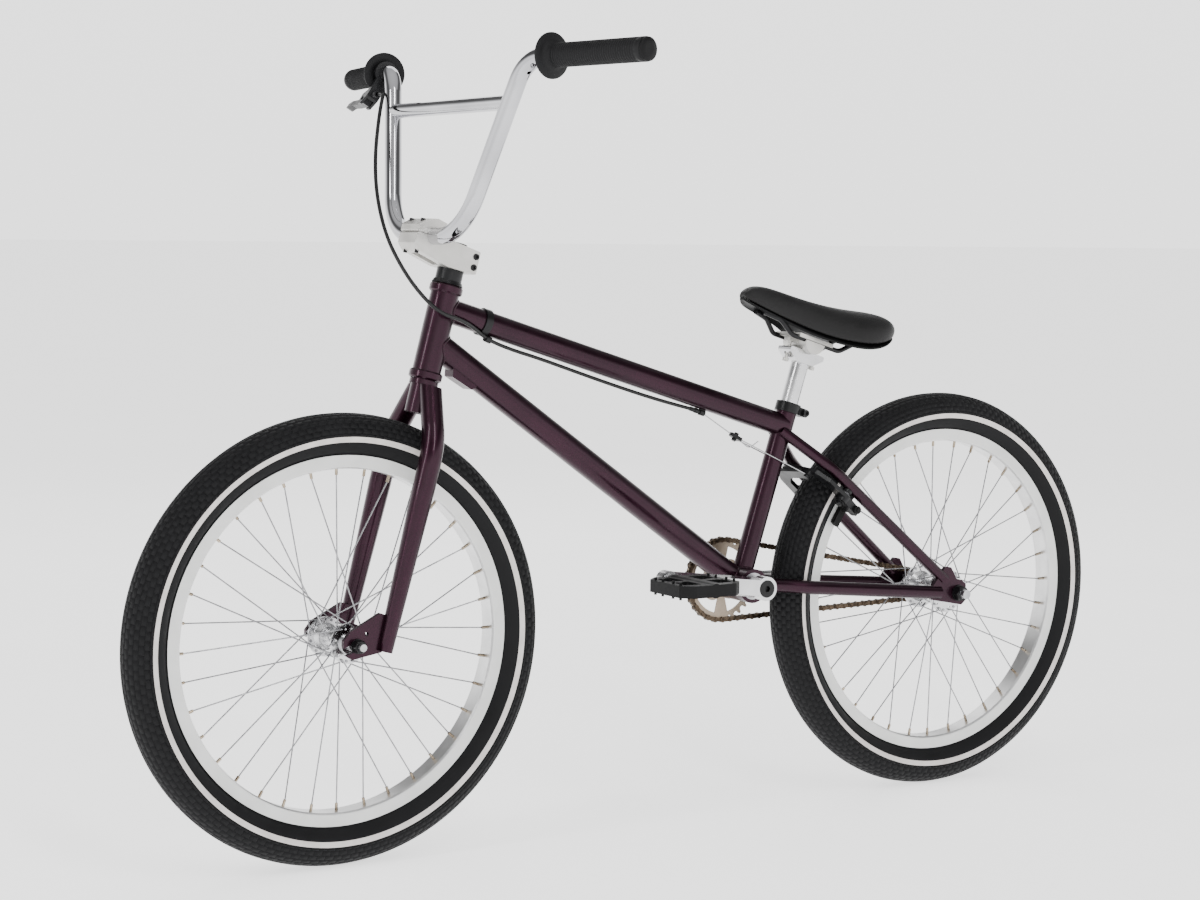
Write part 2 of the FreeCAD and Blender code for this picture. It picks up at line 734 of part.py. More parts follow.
def stepped_axle(radius, end_radius, thread_end, end):
    """A bar with a relief groove where each thread runs out and a thinner plain end beyond it."""
    middle = rod(V(0, 1 - thread_end, 0), V(0, thread_end - 1, 0), radius)
    core = rod(V(0, -end, 0), V(0, end, 0), end_radius - 0.5)
    left_end = rod(V(0, thread_end, 0), V(0, end, 0), end_radius)
    right_end = rod(V(0, -end, 0), V(0, -thread_end, 0), end_radius)
    return fuse([middle, core, left_end, right_end])


def make_rear_axle():
    """The axle with the cone and spacers that fill it out to the dropouts."""
    half = rear_spacing / 2
    bar = stepped_axle(rear_axle_radius, rear_end_radius, 73, 80)
    left_spacer = ring(11, rear_axle_radius, 38.5, half - 38.5)
    right_spacer = ring(10.5, rear_axle_radius, -half, 4.4)
    return [bar, left_spacer, right_spacer]


def make_front_axle():
    half = front_spacing / 2
    bar = stepped_axle(front_axle_radius, front_end_radius, 68, 73.5)
    spacers = [ring(8, front_axle_radius, start, half - 38.5) for start in (38.5, -half)]
    return [bar] + spacers


def axle_nut(across_flats, bore, start):
    flange = ring(across_flats * 0.62, bore, start, 2.2)
    nut = hex_nut(across_flats, bore, start + 2.2, 9.5)
    return flange.fuse(nut).removeSplitter()


def make_axle_nuts(across_flats, bore, spacing):
    nut = axle_nut(across_flats, bore, spacing / 2 + dropout_thickness)
    return [nut, mirrored(nut)]


# ---- fork, headset and stem ---------------------------------------------------------------
fork_side = 58.0
fork_behind = -3.0
axle_ahead = 35.4
axle_down = 469.0


def make_fork_steerer():
    """The steerer tube with the seat for the lower bearing machined on it."""
    pipe = rod(steering_point(0, 0, -168), steering_point(0, 0, 50), steerer_radius)
    seat = rod(steering_point(0, 0, -131), steering_point(0, 0, -124.8), 18.6)
    low = rod(steering_point(0, 0, -168), steering_point(0, 0, -131), 16.0)
    hollow = rod(steering_point(0, 0, -175), steering_point(0, 0, 60), 12.2)
    return fuse([pipe, seat, low]).cut(hollow)


def fork_dropout_outline():
    """Measured from the axle: ahead of it, and up along the leg."""
    return [(-38, 44), (-21, 46), (14, 15), (20, 2), (15, -14), (2, -18), (-36, -1)]


def make_fork_leg(side):
    knee = steering_point(fork_behind, fork_side * side, -204)
    points = [steering_point(fork_behind, 8 * side, -122), knee,
              steering_point(fork_behind, fork_side * side, -262)]
    upper = bent_rod(points, [85], 14.4)
    foot = steering_point(fork_behind, fork_side * side, -axle_down)
    lower = taper(points[-1], foot, 14.4, 9.6)
    start = front_spacing / 2 if side > 0 else -front_spacing / 2 - dropout_thickness
    blade = plate(fork_dropout_outline(), start, dropout_thickness, 3.5)
    slot = plate([(0, -5.0), (60, -5.0), (60, 5.0), (0, 5.0)], start - 1, dropout_thickness + 2)
    seat = rod(V(0, start - 1, 0), V(0, start + dropout_thickness + 1, 0), 5.0)
    hole = rod(V(-9, start - 1, 17), V(-9, start + dropout_thickness + 1, 17), 2.6)
    opening = around_y(slot, 36)
    blade = blade.cut(opening).cut(seat).cut(hole)
    blade = tilted(blade, front_axle, head_tilt)
    top_cut = rod(steering_point(0, 0, -131), steering_point(0, 0, -90), 60)
    steerer = rod(steering_point(0, 0, -200), steering_point(0, 0, -100), 16.0)
    return largest(fuse([upper, lower, blade]).cut(steerer).cut(top_cut))


def make_headset_spacers():
    """The dust cap over the upper bearing and the spacer above it."""
    cap_low = taper(steering_point(0, 0, 0.6), steering_point(0, 0, 5.5), 20.5, 18.4)
    bore = rod(steering_point(0, 0, -1), steering_point(0, 0, 30), steerer_radius)
    spacer = rod(steering_point(0, 0, 5.5), steering_point(0, 0, 20), 17.2)
    return [cap_low.cut(bore), spacer.cut(bore)]


stem_half_width = 23.0
stem_split = 0.35


def stem_bar_bore():
    middle = V(bar_forward, 0, bar_up)
    return rod(middle - V(0, 60, 0), middle + V(0, 60, 0), bar_radius)


def stem_bolt_places():
    return [(ahead, side) for ahead in (29.0, 61.5) for side in (-15.0, 15.0)]


def make_stem_body():
    low = 20.0
    outline = [(-24.5, low), (18, low), (62, 28.5), (70.5, 37), (70.5, bar_up - stem_split),
               (22, bar_up - stem_split), (14, 53), (-24.5, 50)]
    body = plate(outline, -stem_half_width, 2 * stem_half_width, 2.2)
    body = body.cut(stem_bar_bore())
    body = body.cut(rod(V(0, 0, 0), V(0, 0, 80), steerer_radius + 0.02))
    body = body.cut(plate([(-30, 10), (-10, 10), (-10, 60), (-30, 60)], -0.7, 1.4))
    pocket = plate([(22, 10), (56, 10), (56, 33), (22, 30)], -9, 18, 4)
    body = body.cut(pocket)
    for up in (28.5, 42.5):
        body = body.cut(rod(V(-19.2, -30, up), V(-19.2, 30, up), 2.6))
        body = body.cut(rod(V(-19.2, stem_half_width - 4, up), V(-19.2, 30, up), 4.3))
    for ahead, side in stem_bolt_places():
        body = body.cut(rod(V(ahead, side, 24), V(ahead, side, 60), 2.6))
    return tilted(body, head_top, head_tilt)


def make_stem_cap():
    outline = [(22, bar_up + stem_split), (70.5, bar_up + stem_split), (70.5, 62), (60, 71), (46, 74.5),
               (32, 72), (22, 64)]
    cap = plate(outline, -stem_half_width, 2 * stem_half_width, 2.2)
    cap = cap.cut(stem_bar_bore())
    for ahead, side in stem_bolt_places():
        cap = cap.cut(rod(V(ahead, side, 40), V(ahead, side, 90), 2.6))
        cap = cap.cut(rod(V(ahead, side, 65.5), V(ahead, side, 90), 4.4))
    return tilted(cap, head_top, head_tilt)


def socket_screw(start, end, head_end, shank_radius, head_radius_):
    """A cap screw: shank from start to end, then its head with a hexagon socket."""
    direction = (head_end - end).normalize()
    screw = rod(start, end, shank_radius).fuse(rod(end, head_end, head_radius_))
    return screw.cut(rod(head_end - direction * 2.2, head_end + direction,
                         head_radius_ * 0.52)).removeSplitter()


def make_stem_bolts():
    bolts = []
    for ahead, side in stem_bolt_places():
        bolts.append(socket_screw(V(ahead, side, 26), V(ahead, side, 65.5), V(ahead, side, 70.5), 2.5, 4.2))
    for up in (28.5, 42.5):
        bolts.append(socket_screw(V(-19.2, -20, up), V(-19.2, stem_half_width - 4, up),
                                  V(-19.2, stem_half_width + 1.2, up), 2.5, 4.1))
    preload = socket_screw(V(0, 0, 22), V(0, 0, 51), V(0, 0, 55), 12.1, 13.6)
    bolts.append(preload)
    return [tilted(bolt, head_top, head_tilt) for bolt in bolts]


# ---- handlebar, grips and lever -----------------------------------------------------------
bar_centre = steering_point(bar_forward, 0, bar_up)


def bar_points():
    left = [bar_end, bar_upper_corner, bar_centre + V(0, bar_lower_corner, 0)]
    right = [V(point.x, -point.y, point.z) for point in reversed(left)]
    return left + right


bar_bends = [46, 78, 78, 46]


def make_handlebar():
    """A one-piece bar with its crossbar welded across, and small vent holes at the bends."""
    outer = bent_rod(bar_points(), bar_bends, bar_radius)
    inner = bent_rod(bar_points(), bar_bends, bar_radius - 2.3)
    share = (crossbar_height - bar_centre.z) / (bar_upper_corner.z - bar_centre.z)
    side = bar_lower_corner + share * (bar_upper_corner.y - bar_lower_corner)
    ahead = bar_centre.x + share * (bar_upper_corner.x - bar_centre.x)
    crossbar = tube(V(ahead, -side, crossbar_height), V(ahead, side, crossbar_height), 9.5, 7.5)
    crossbar = crossbar.cut(inner)
    whole = outer.fuse(crossbar).cut(inner)
    for sign in (-1, 1):
        low_vent = rod(V(bar_centre.x, 62 * sign, 786), V(bar_centre.x + 20, 70 * sign, 770), 2.6)
        high_vent = rod(V(313, 176 * sign, 997), V(322, 190 * sign, 972), 2.6)
        whole = whole.cut(low_vent).cut(high_vent)
    return whole.removeSplitter()


grip_direction = (bar_end - bar_upper_corner).normalize()
grip_start = bar_upper_corner + grip_direction * 43.0
grip_end = bar_end + grip_direction * 1.0


def make_left_grip():
    """A flanged rubber grip and, in its end, the plug that closes the bar."""
    sleeve = rod(grip_start, grip_end, grip_radius)
    flange = rod(grip_start, grip_start + grip_direction * 3.6, flange_radius)
    slope = taper(grip_start + grip_direction * 3.6, grip_start + grip_direction * 7, 24, grip_radius)
    bore = rod(grip_start - grip_direction, grip_end + grip_direction, bar_radius)
    grip = fuse([sleeve, flange, slope]).cut(bore)
    plug_head = rod(grip_end, grip_end + grip_direction * 3.5, 14.2)
    plug_shank = rod(bar_end - grip_direction * 14, grip_end, bar_radius - 2.3)
    step = rod(bar_end, grip_end, bar_radius)
    return [grip, fuse([plug_head, step, plug_shank])]


lever_drop = 58.0
lever_axis = V(grip_direction.x, -grip_direction.y, grip_direction.z)
lever_forward = V(-lever_axis.y, lever_axis.x, 0).normalize()
lever_out = (lever_forward * math.cos(math.radians(lever_drop))
             - V(0, 0, 1) * math.sin(math.radians(lever_drop)))
band_centre = V(bar_upper_corner.x, -bar_upper_corner.y, bar_upper_corner.z) + lever_axis * 37.0
lever_normal = lever_axis.cross(lever_out).normalize()


def lever_placed(shape):
    """Place a shape built with X along the grip, Y away from the bar and Z across the lever."""
    matrix = FreeCAD.Matrix(
        lever_axis.x, lever_out.x, lever_normal.x, band_centre.x,
        lever_axis.y, lever_out.y, lever_normal.y, band_centre.y,
        lever_axis.z, lever_out.z, lever_normal.z, band_centre.z,
        0, 0, 0, 1)
    placed = shape.copy()
    placed.Placement = FreeCAD.Placement(matrix).multiply(placed.Placement)
    return placed


lever_pivot_along = 9.0
lever_pivot_out = 44.0
lever_half_thickness = 4.8


def lever_extrude(outline, half_thickness, radius):
    points = [V(x, y, -half_thickness) for x, y in outline]
    return Part.Face(rounded_outline(points, radius)).extrude(V(0, 0, 2 * half_thickness))


def make_lever_bracket():
    """The clamp round the bar, the forked perch with its pin, and the cable's barrel."""
    band = rod(V(-4.6, 0, 0), V(4.6, 0, 0), 15.6)
    web = lever_extrude([(-4.6, 8), (4.6, 8), (4.6, 31), (19, 37), (19, 52), (4, 52), (-9, 40), (-9, 26)],
                        8.6, 2)
    barrel = rod(V(-8, 34, 0), V(-24, 34, 0), 4.6)
    body = fuse([band, web, barrel])
    body = body.cut(rod(V(-30, 0, 0), V(30, 0, 0), bar_radius + 0.02))
    fork_gap = lever_extrude([(-5.5, 35.5), (30, 33.5), (30, 60), (-5.5, 60)], 5.4, 1)
    body = body.cut(fork_gap).cut(rod(V(-14, 34, 0), V(-30, 34, 0), 2.54)).cut(
        rod(V(-15, 34, 0), V(10, 34, 0), 1.0))
    pin = rod(V(lever_pivot_along, lever_pivot_out, -9.6), V(lever_pivot_along, lever_pivot_out, 9.6), 2.6)
    return lever_placed(body.fuse(pin).removeSplitter())


def make_brake_lever():
    """A short blade, curled at its tip, pulled towards the grip."""
    outline = [(1.5, 38.5), (16, 37.5), (40, 43), (70, 43.5), (84, 47), (86, 54), (78, 53), (66, 50),
               (38, 51), (18, 50.5), (3, 50)]
    blade = lever_extrude(outline, lever_half_thickness, 1.2)
    hole = rod(V(lever_pivot_along, lever_pivot_out, -20), V(lever_pivot_along, lever_pivot_out, 20), 2.66)
    return lever_placed(blade.cut(hole))


# ---- brake --------------------------------------------------------------------------------
def wire_line(side):
    """Where one leg of the straddle wire starts at the hanger and ends in an arm's anchor."""
    depth = 16.0 if side < 0 else 26.0
    end = brake_point(depth, 27 * side, 309)
    start = hanger_place - wire_direction * 8.6 + V(0, 5.5 * side, 0)
    return start, end


def make_brake_arm(side, beam_start):
    """An arm that turns on its stud and reaches over the tyre to the other side.

    It is measured from the rear axle: across the bike, and up along the seat stays."""
    pivot = brake_pivot_radius
    beam = [(57, pivot - 3), (55, 287), (40, 308), (-20, 315), (-33, 311), (-33, 302), (-18, 299), (24, 294),
            (37, 281), (37, pivot + 3)]
    points = [V(beam_start, y, z) for y, z in beam]
    upper = Part.Face(rounded_outline(points, 3)).extrude(V(5.6, 0, 0))
    foot = [(56, pivot), (52, 216), (38, 216), (37, pivot)]
    foot_points = [V(15.2, y, z) for y, z in foot]
    lower = Part.Face(rounded_outline(foot_points, 3)).extrude(V(10.8, 0, 0))
    barrel = rod(V(15.2, brake_pivot_side, pivot), V(26.6, brake_pivot_side, pivot), 10)
    anchor_start, anchor_end = (11.4, beam_start + 5.6) if side > 0 else (beam_start, 30.6)
    anchor = rod(V(anchor_start, -27, 306.5), V(anchor_end, -27, 306.5), 4.6)
    arm = fuse([upper, lower, barrel, anchor])
    arm = arm.cut(rod(V(5, brake_pivot_side, pivot), V(40, brake_pivot_side, pivot), 5.06))
    arm = arm.cut(rod(V(20.6, 30, 224), V(20.6, 60, 224), 3.1))
    if side < 0:
        arm = mirrored(arm)
    wire_start, wire_end = wire_line(-side)
    direction = (wire_end - wire_start).normalize()
    return tilted(arm, rear_axle, brake_tilt).cut(
        rod(wire_end - direction * 8, wire_end + direction * 1, 1.1))


def make_brake_pad(side):
    """The rubber block curved to the rim, its metal holder and the nut behind the arm."""
    block = ring(229.5, 219.5, rim_half_width + 2.2, 8.0)
    block = around_y(block, 0)
    window = Part.makeBox(52, 20, 60, V(-5, rim_half_width, 195))
    pad = block.common(window)
    holder = rod(V(20.6, rim_half_width + 10.2, 224), V(20.6, 37.6, 224), 5.4)
    stud = rod(V(20.6, 30, 224), V(20.6, 60.5, 224), 3.0)
    nut = rod(V(20.6, 53.7, 224), V(20.6, 57.5, 224), 5.6)
    whole = fuse([pad, holder, stud, nut])
    if side < 0:
        whole = mirrored(whole)
    return tilted(whole, rear_axle, brake_tilt)


hanger_place = V(-127, 0, 520)
stop_place = V(-70, 0, 555.5)
wire_direction = (stop_place - hanger_place).normalize()


def make_cable_hanger():
    """The yoke that joins the pull wire to the straddle wire."""
    back = hanger_place - wire_direction * 8
    tip = hanger_place + wire_direction * 9
    wide = [V(back.x, -8, back.z), V(back.x, 8, back.z), V(tip.x, 3.5, tip.z), V(tip.x, -3.5, tip.z)]
    across = V(0, 1, 0).cross(wire_direction).normalize()
    face = Part.Face(rounded_outline([point - across * 2.5 for point in wide], 1.2))
    body = face.extrude(across * 5)
    screw = rod(hanger_place - across * 6, hanger_place + across * 6, 3.2)
    return body.fuse(screw).removeSplitter()


def make_brake_wires():
    """The pull wire, its free tail, and the straddle wire's two legs."""
    front = hanger_place + wire_direction * 9
    pull = rod(front, stop_place + wire_direction * 2.5, 0.8)
    legs = []
    for side in (-1, 1):
        start, end = wire_line(side)
        legs.append(rod(start, end, 0.8))
    tail_start = hanger_place - wire_direction * 9.2
    tail = bent_rod([tail_start, tail_start + V(-16, 0, -12), tail_start + V(-29, 4, -2)], [8], 0.8)
    return [pull, tail] + legs


housing_radius = 2.5


def housing_route():
    """Points of the brake cable's housing, from the lever's barrel to the stop under the top tube."""
    start = band_centre - lever_axis * 15 + lever_out * 34
    return [
        start,
        start - lever_axis * 25,
        V(338.7, -156.5, 972.5),
        V(354, -137, 946),
        V(377, -104, 893),
        V(394, -66, 841),
        V(403, -22, 790),
        V(397, 12, 749),
        V(381, 32, 717),
        V(355, 35, 695),
        V(326, 28, 688),
        V(300, 18.5, 677.5),
        V(274, 6, 661.5),
        V(238, 0, 648),
        V(188, 0, 633.5),
        V(135, 0, 616),
        V(84, 0, 599.5),
        V(32, 0, 583.5),
        V(-14, 0, 570.5),
        stop_place + V(19, 0, 5.86),
    ]


def route_radii(points):
    """The largest arc that each corner's two runs allow."""
    radii = []
    for before, point, after in zip(points, points[1:], points[2:]):
        into = point - before
        out = after - point
        turn = into.getAngle(out)
        radii.append(0.45 * min(into.Length, out.Length) / math.tan(turn / 2))
    return radii


def make_cable_housing():
    points = housing_route()
    radii = route_radii(points)
    path = rounded_path(points, radii)
    cable = bent_rod(points, radii, housing_radius)
    share = cable.Volume / (math.pi * housing_radius ** 2 * path.Length)
    print("housing radii", [round(radius, 1) for radius in radii])
    print("housing runs", [round((b - a).Length, 1) for a, b in zip(points, points[1:])])
    print(f"housing length {path.Length:.1f}, volume over section times length {share:.4f}")
    return cable


tube_direction = (top_tube_rear - top_tube_front).normalize()


def make_cable_fittings():
    """The band that ties the housing to the top tube, and the barrel adjuster in the stop."""
    station = V(274, 0, 682)
    station.z = top_tube_front.z + (station.x - top_tube_front.x) * tube_direction.z / tube_direction.x
    start = station - tube_direction * 5
    end = station + tube_direction * 5
    band = tube(start, end, top_tube_radius + 2.2, top_tube_radius + 0.02)
    route = housing_route()
    before = route[12]
    keeper_start = before - (before - route[11]).normalize() * 1.0
    keeper_end = before + (route[13] - before).normalize() * 8
    keeper = rod(keeper_start, keeper_end, housing_radius + 1.9)
    cable = bent_rod(route, route_radii(route), housing_radius)
    tube_inside = rod(top_tube_front, top_tube_rear, top_tube_radius + 0.02)
    clip = largest(band.fuse(keeper).cut(cable).cut(tube_inside))
    along = V(19, 0, 5.86).normalize()
    barrel = rod(stop_place + along * 19.9, stop_place + along * 4, 3.1)
    barrel = barrel.fuse(rod(stop_place + along * 8, stop_place + along * 12, 3.6))
    barrel = barrel.cut(rod(stop_place + along * 14, stop_place + along * 30, housing_radius + 0.02))
    barrel = barrel.cut(rod(stop_place - along * 10, stop_place + along * 30, 1.4))
    return [clip, barrel.removeSplitter()]


def make_cable_stop():
    """The small boss under the top tube that the barrel adjuster screws into."""
    along = V(19, 0, 5.86).normalize()
    body = rod(stop_place - along * 4, stop_place + along * 4, 4.4)
    middle = stop_place
    foot = Part.makeBox(8, 6, 26, V(-4, -3, 0))
    foot = tilted(foot, middle, 17.1)
    tube_outside = rod(top_tube_front, top_tube_rear, top_tube_radius)
    whole = body.fuse(foot).cut(tube_outside)
    whole = largest(whole)
    return whole.cut(rod(stop_place - along * 10, stop_place + along * 10, 2.3)).removeSplitter()


# ---- seat ---------------------------------------------------------------------------------
clamp_low = 247.5
clamp_height = 13.5


def make_seat_clamp():
    """The collar that pinches the seat tube, with its cross bolt at the back."""
    ring_low = seat_point(0, 0, clamp_low)
    ring_high = seat_point(0, 0, clamp_low + clamp_height)
    collar = rod(ring_low, ring_high, 17.6)
    ears = plate([(-30, clamp_low + 1), (-12, clamp_low + 1), (-12, clamp_low + clamp_height - 1),
                  (-30, clamp_low + clamp_height - 1)], -9, 18, 3)
    body = collar.fuse(tilted(ears, bottom_bracket, seat_tilt))
    body = body.cut(rod(seat_point(0, 0, clamp_low - 5), seat_point(0, 0, seat_tube_length + 0.1),
                        seat_tube_radius))
    body = body.cut(rod(seat_point(0, 0, clamp_low), seat_point(0, 0, 275), post_radius + 0.4))
    gap = plate([(-40, 240), (-10, 240), (-10, 275), (-40, 275)], -1.2, 2.4)
    body = body.cut(tilted(gap, bottom_bracket, seat_tilt))
    middle = clamp_low + clamp_height / 2
    hole = rod(seat_point(-24.2, -20, middle), seat_point(-24.2, 20, middle), 2.6)
    bolt = socket_screw(seat_point(-24.2, -13, middle), seat_point(-24.2, 9, middle),
                        seat_point(-24.2, 14, middle), 2.55, 4.8)
    nut = rod(seat_point(-24.2, -9, middle), seat_point(-24.2, -13, middle), 5.0)
    return [body.cut(hole), bolt.fuse(nut).removeSplitter()]


post_bottom = 165.0
head_cup_radius = 17.0


def post_along():
    """How far up the seat tube the saddle's pivot is."""
    return (saddle_pivot - bottom_bracket).dot(seat_point(0, 0, 1) - bottom_bracket)


def make_seat_post():
    """A straight post with a cupped head that the saddle's cradle rocks in."""
    top = post_along() - 18
    pipe = tube(seat_point(0, 0, post_bottom), seat_point(0, 0, top - 8), post_radius, post_radius - 2.2)
    plug = rod(seat_point(0, 0, top - 8), seat_point(0, 0, top), post_radius)
    head = plate([(-30, -20), (-30, -13.5), (30, -13.5), (30, -20), (15, -31), (-14, -31)], -14.5, 29, 2.5)
    cup = rod(V(0, -40, 0), V(0, 40, 0), head_cup_radius)
    head = head.cut(cup)
    for ahead in (-23.5, 23.5):
        head = head.cut(rod(V(ahead, 0, -45), V(ahead, 0, 10), 4.4))
        head = head.cut(Part.makeBox(2.4, 8.8, 60, V(ahead - 1.2, -4.4, -45)))
    head = tilted(head, saddle_pivot, saddle_tilt)
    return fuse([pipe, plug]).fuse(head).removeSplitter()


def make_saddle_clamp():
    """The lower cradle, the top plate over the rails and the two bolts between them."""
    disc = rod(V(0, -27, 0), V(0, 27, 0), head_cup_radius - 0.35)
    keep = Part.makeBox(60, 60, 40, V(-30, -30, -40))
    cradle = disc.common(keep)
    cradle = cradle.cut(Part.makeBox(60, 60, 6, V(-30, -30, -0.3)))
    wings = Part.makeBox(60, 13, 5.2, V(-30, -6.5, -5.6))
    cradle = cradle.fuse(wings)
    top_plate = Part.makeBox(60, 56, 5.2, V(-30, -28, 0.5))
    pieces = []
    rails = [rod(V(-60, side, 0), V(60, side, 0), 3.52) for side in (-22.0, 22.0)]
    for body in (cradle, top_plate):
        for rail in rails:
            body = body.cut(rail)
        for ahead in (-23.5, 23.5):
            body = body.cut(rod(V(ahead, 0, -50), V(ahead, 0, 50), 2.6))
        pieces.append(largest(body))
    for ahead in (-23.5, 23.5):
        pieces.append(socket_screw(V(ahead, 0, 8.4), V(ahead, 0, -29.8), V(ahead, 0, -34.3), 2.5, 4.4))
    return [tilted(piece, saddle_pivot, saddle_tilt) for piece in pieces]


def make_saddle_rails():
    """Two steel rails that run from the nose of the shell to its tail."""
    rails = []
    for side in (-1, 1):
        points = [saddle_point(86, 10 * side, 18), saddle_point(60, 17 * side, 15),
                  saddle_point(40, 22 * side, 0), saddle_point(-46, 22 * side, 0),
                  saddle_point(-75, 27 * side, 24.2)]
        rails.append(bent_rod(points, [16, 14, 16], 3.5))
    return rails


# Along the saddle: station, half width, height of the crown, height of the lower edge and
# height of the arch between the lower edges.
saddle_stations = [
    (121, 9, 38, 28, 29),
    (112, 17, 49, 24, 27),
    (88, 22, 54, 20, 26),
    (48, 27, 54, 15, 26),
    (4, 43, 55, 9, 26),
    (-40, 61, 60, 9, 28),
    (-78, 67, 68, 17, 34),
    (-104, 60, 70, 31, 41),
    (-118, 44, 64, 42, 47),
]


def make_saddle_cover():
    """The padded cover as a plain closed shape, crowned above and arched below."""
    wires = []
    for ahead, half, crown, low, arch in saddle_stations:
        shoulder = low + (crown - low) * 0.55
        points = [V(ahead, half - 3, low), V(ahead, half, shoulder), V(ahead, half * 0.6, crown - 4.0),
                  V(ahead, 0, crown), V(ahead, -half * 0.6, crown - 4.0), V(ahead, -half, shoulder),
                  V(ahead, -half + 3, low)]
        curve = Part.BSplineCurve()
        curve.interpolate(points)
        under = Part.Arc(points[-1], V(ahead, 0, arch), points[0])
        wires.append(Part.Wire([curve.toShape(), under.toShape()]))
    solid = Part.makeLoft(wires, True, False)
    return tilted(solid, saddle_pivot, saddle_tilt)


def make_saddle_base(rails):
    """The thin shell under the padding, with sockets that the rails plug into."""
    wires = []
    for ahead, half, crown, low, arch in saddle_stations:
        inset = 1.04 if ahead in (121, -118) else 1.0
        left = V(ahead, half - 3.6, low - 0.4)
        right = V(ahead, -half + 3.6, low - 0.4)
        upper = Part.Arc(left, V(ahead, 0, arch - 0.4 * inset), right)
        lower = Part.Arc(right + V(0, 2, -2.4), V(ahead, 0, arch - 3.6), left + V(0, -2, -2.4))
        side_a = Part.LineSegment(right, right + V(0, 2, -2.4))
        side_b = Part.LineSegment(left + V(0, -2, -2.4), left)
        wires.append(Part.Wire([upper.toShape(), side_a.toShape(), lower.toShape(), side_b.toShape()]))
    solid = tilted(Part.makeLoft(wires, True, False), saddle_pivot, saddle_tilt)
    return largest(solid.cut(Part.makeCompound(rails)))


# ---- build --------------------------------------------------------------------------------
def both(maker):
    return [maker(1), maker(-1)]


save("head_tube", make_head_tube())
save("top_tube", make_top_tube())
save("down_tube", make_down_tube())
save("seat_tube", make_seat_tube())
save("bottom_bracket_shell", make_bottom_bracket_shell())
save("chain_stays", *both(make_chain_stay))
save("seat_stays", *both(make_seat_stay))
save("rear_dropouts", *both(make_rear_dropout))
save("brake_bosses", *both(make_brake_boss), make_cable_stop())
save("brake_springs", *both(make_brake_spring))

save("frame_bearings", *make_frame_bearings())

save("rear_axle", *at_rear(make_rear_axle()))
save("rear_axle_nuts", *at_rear(make_axle_nuts(19, rear_axle_radius, rear_spacing)))
save("seat_clamp", *make_seat_clamp())
save("cable_fittings", *make_cable_fittings())
save("brake_cable_housing", make_cable_housing())
save("chain", *make_chain())

save("fork_steerer", make_fork_steerer())
save("fork_legs", *both(make_fork_leg))
save("headset_spacers", *make_headset_spacers())
save("stem_body", make_stem_body())
save("stem_cap", make_stem_cap())
save("stem_bolts", *make_stem_bolts())
save("handlebar", make_handlebar())
left_grip = make_left_grip()
save("left_grip", *left_grip)
save("right_grip", *[mirrored(piece) for piece in left_grip])
save("brake_lever_bracket", make_lever_bracket())
save("front_axle", *at_front(make_front_axle()))
save("front_axle_nuts", *at_front(make_axle_nuts(15, front_axle_radius, front_spacing)))
save("brake_lever", make_brake_lever())

tyre = make_tyre()
for name, place, valve, hub, flanges, holes in (
        ("front", at_front, front_valve_angle, make_front_hub(), (front_flange, -front_flange), 22.0),
        ("rear", at_rear, rear_valve_angle, make_rear_hub(), (rear_flange_left, rear_flange_right), 28.0)):
    save(f"{name}_tyre", *place([tyre]))
    save(f"{name}_inner_tube", *place([make_inner_tube(valve)]))
    save(f"{name}_rim", *place([make_rim(valve)]))
    save(f"{name}_spokes", *place(make_spokes(flanges[0], flanges[1], holes)))
    save(f"{name}_hub", *place(hub))

save("crank_spindle", make_spindle())
save("left_crank_arm", make_crank_arm(1))
save("right_crank_arm", make_crank_arm(-1))
save("sprocket", make_sprocket())
save("crank_bolts", *both(make_crank_bolt), make_sprocket_bolt())
save("pedal_axles", *both(make_pedal_axle))
save("driver_cog", make_driver_cog())
save("left_pedal", make_pedal(1))
save("right_pedal", make_pedal(-1))

save("left_brake_arm", make_brake_arm(1, 15.2))
save("right_brake_arm", make_brake_arm(-1, 21.0))
save("left_brake_pad", make_brake_pad(1))
save("right_brake_pad", make_brake_pad(-1))
save("cable_hanger", make_cable_hanger())
save("brake_wires", *make_brake_wires())

save("seat_post", make_seat_post())
save("saddle_clamp", *make_saddle_clamp())
saddle_rails = make_saddle_rails()
save("saddle_rails", *saddle_rails)
save("saddle_base", make_saddle_base(saddle_rails))
save("saddle_cover", make_saddle_cover())
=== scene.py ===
# %% [markdown]
# A BMX bike, dressed for its portrait. The welded frame, the wheels and the drive already exist as
# an exact model, and this lesson gives them their real surfaces: plum metallic paint, chrome, polished
# alloy, tread rubber and a padded saddle. The pieces whose surface is more than a finish, such as
# the tread, the ribbed grips and the saddle, are modelled again on top of the exact ones.

import json
import math

import bmesh
import bpy
from mathutils import Matrix, Vector


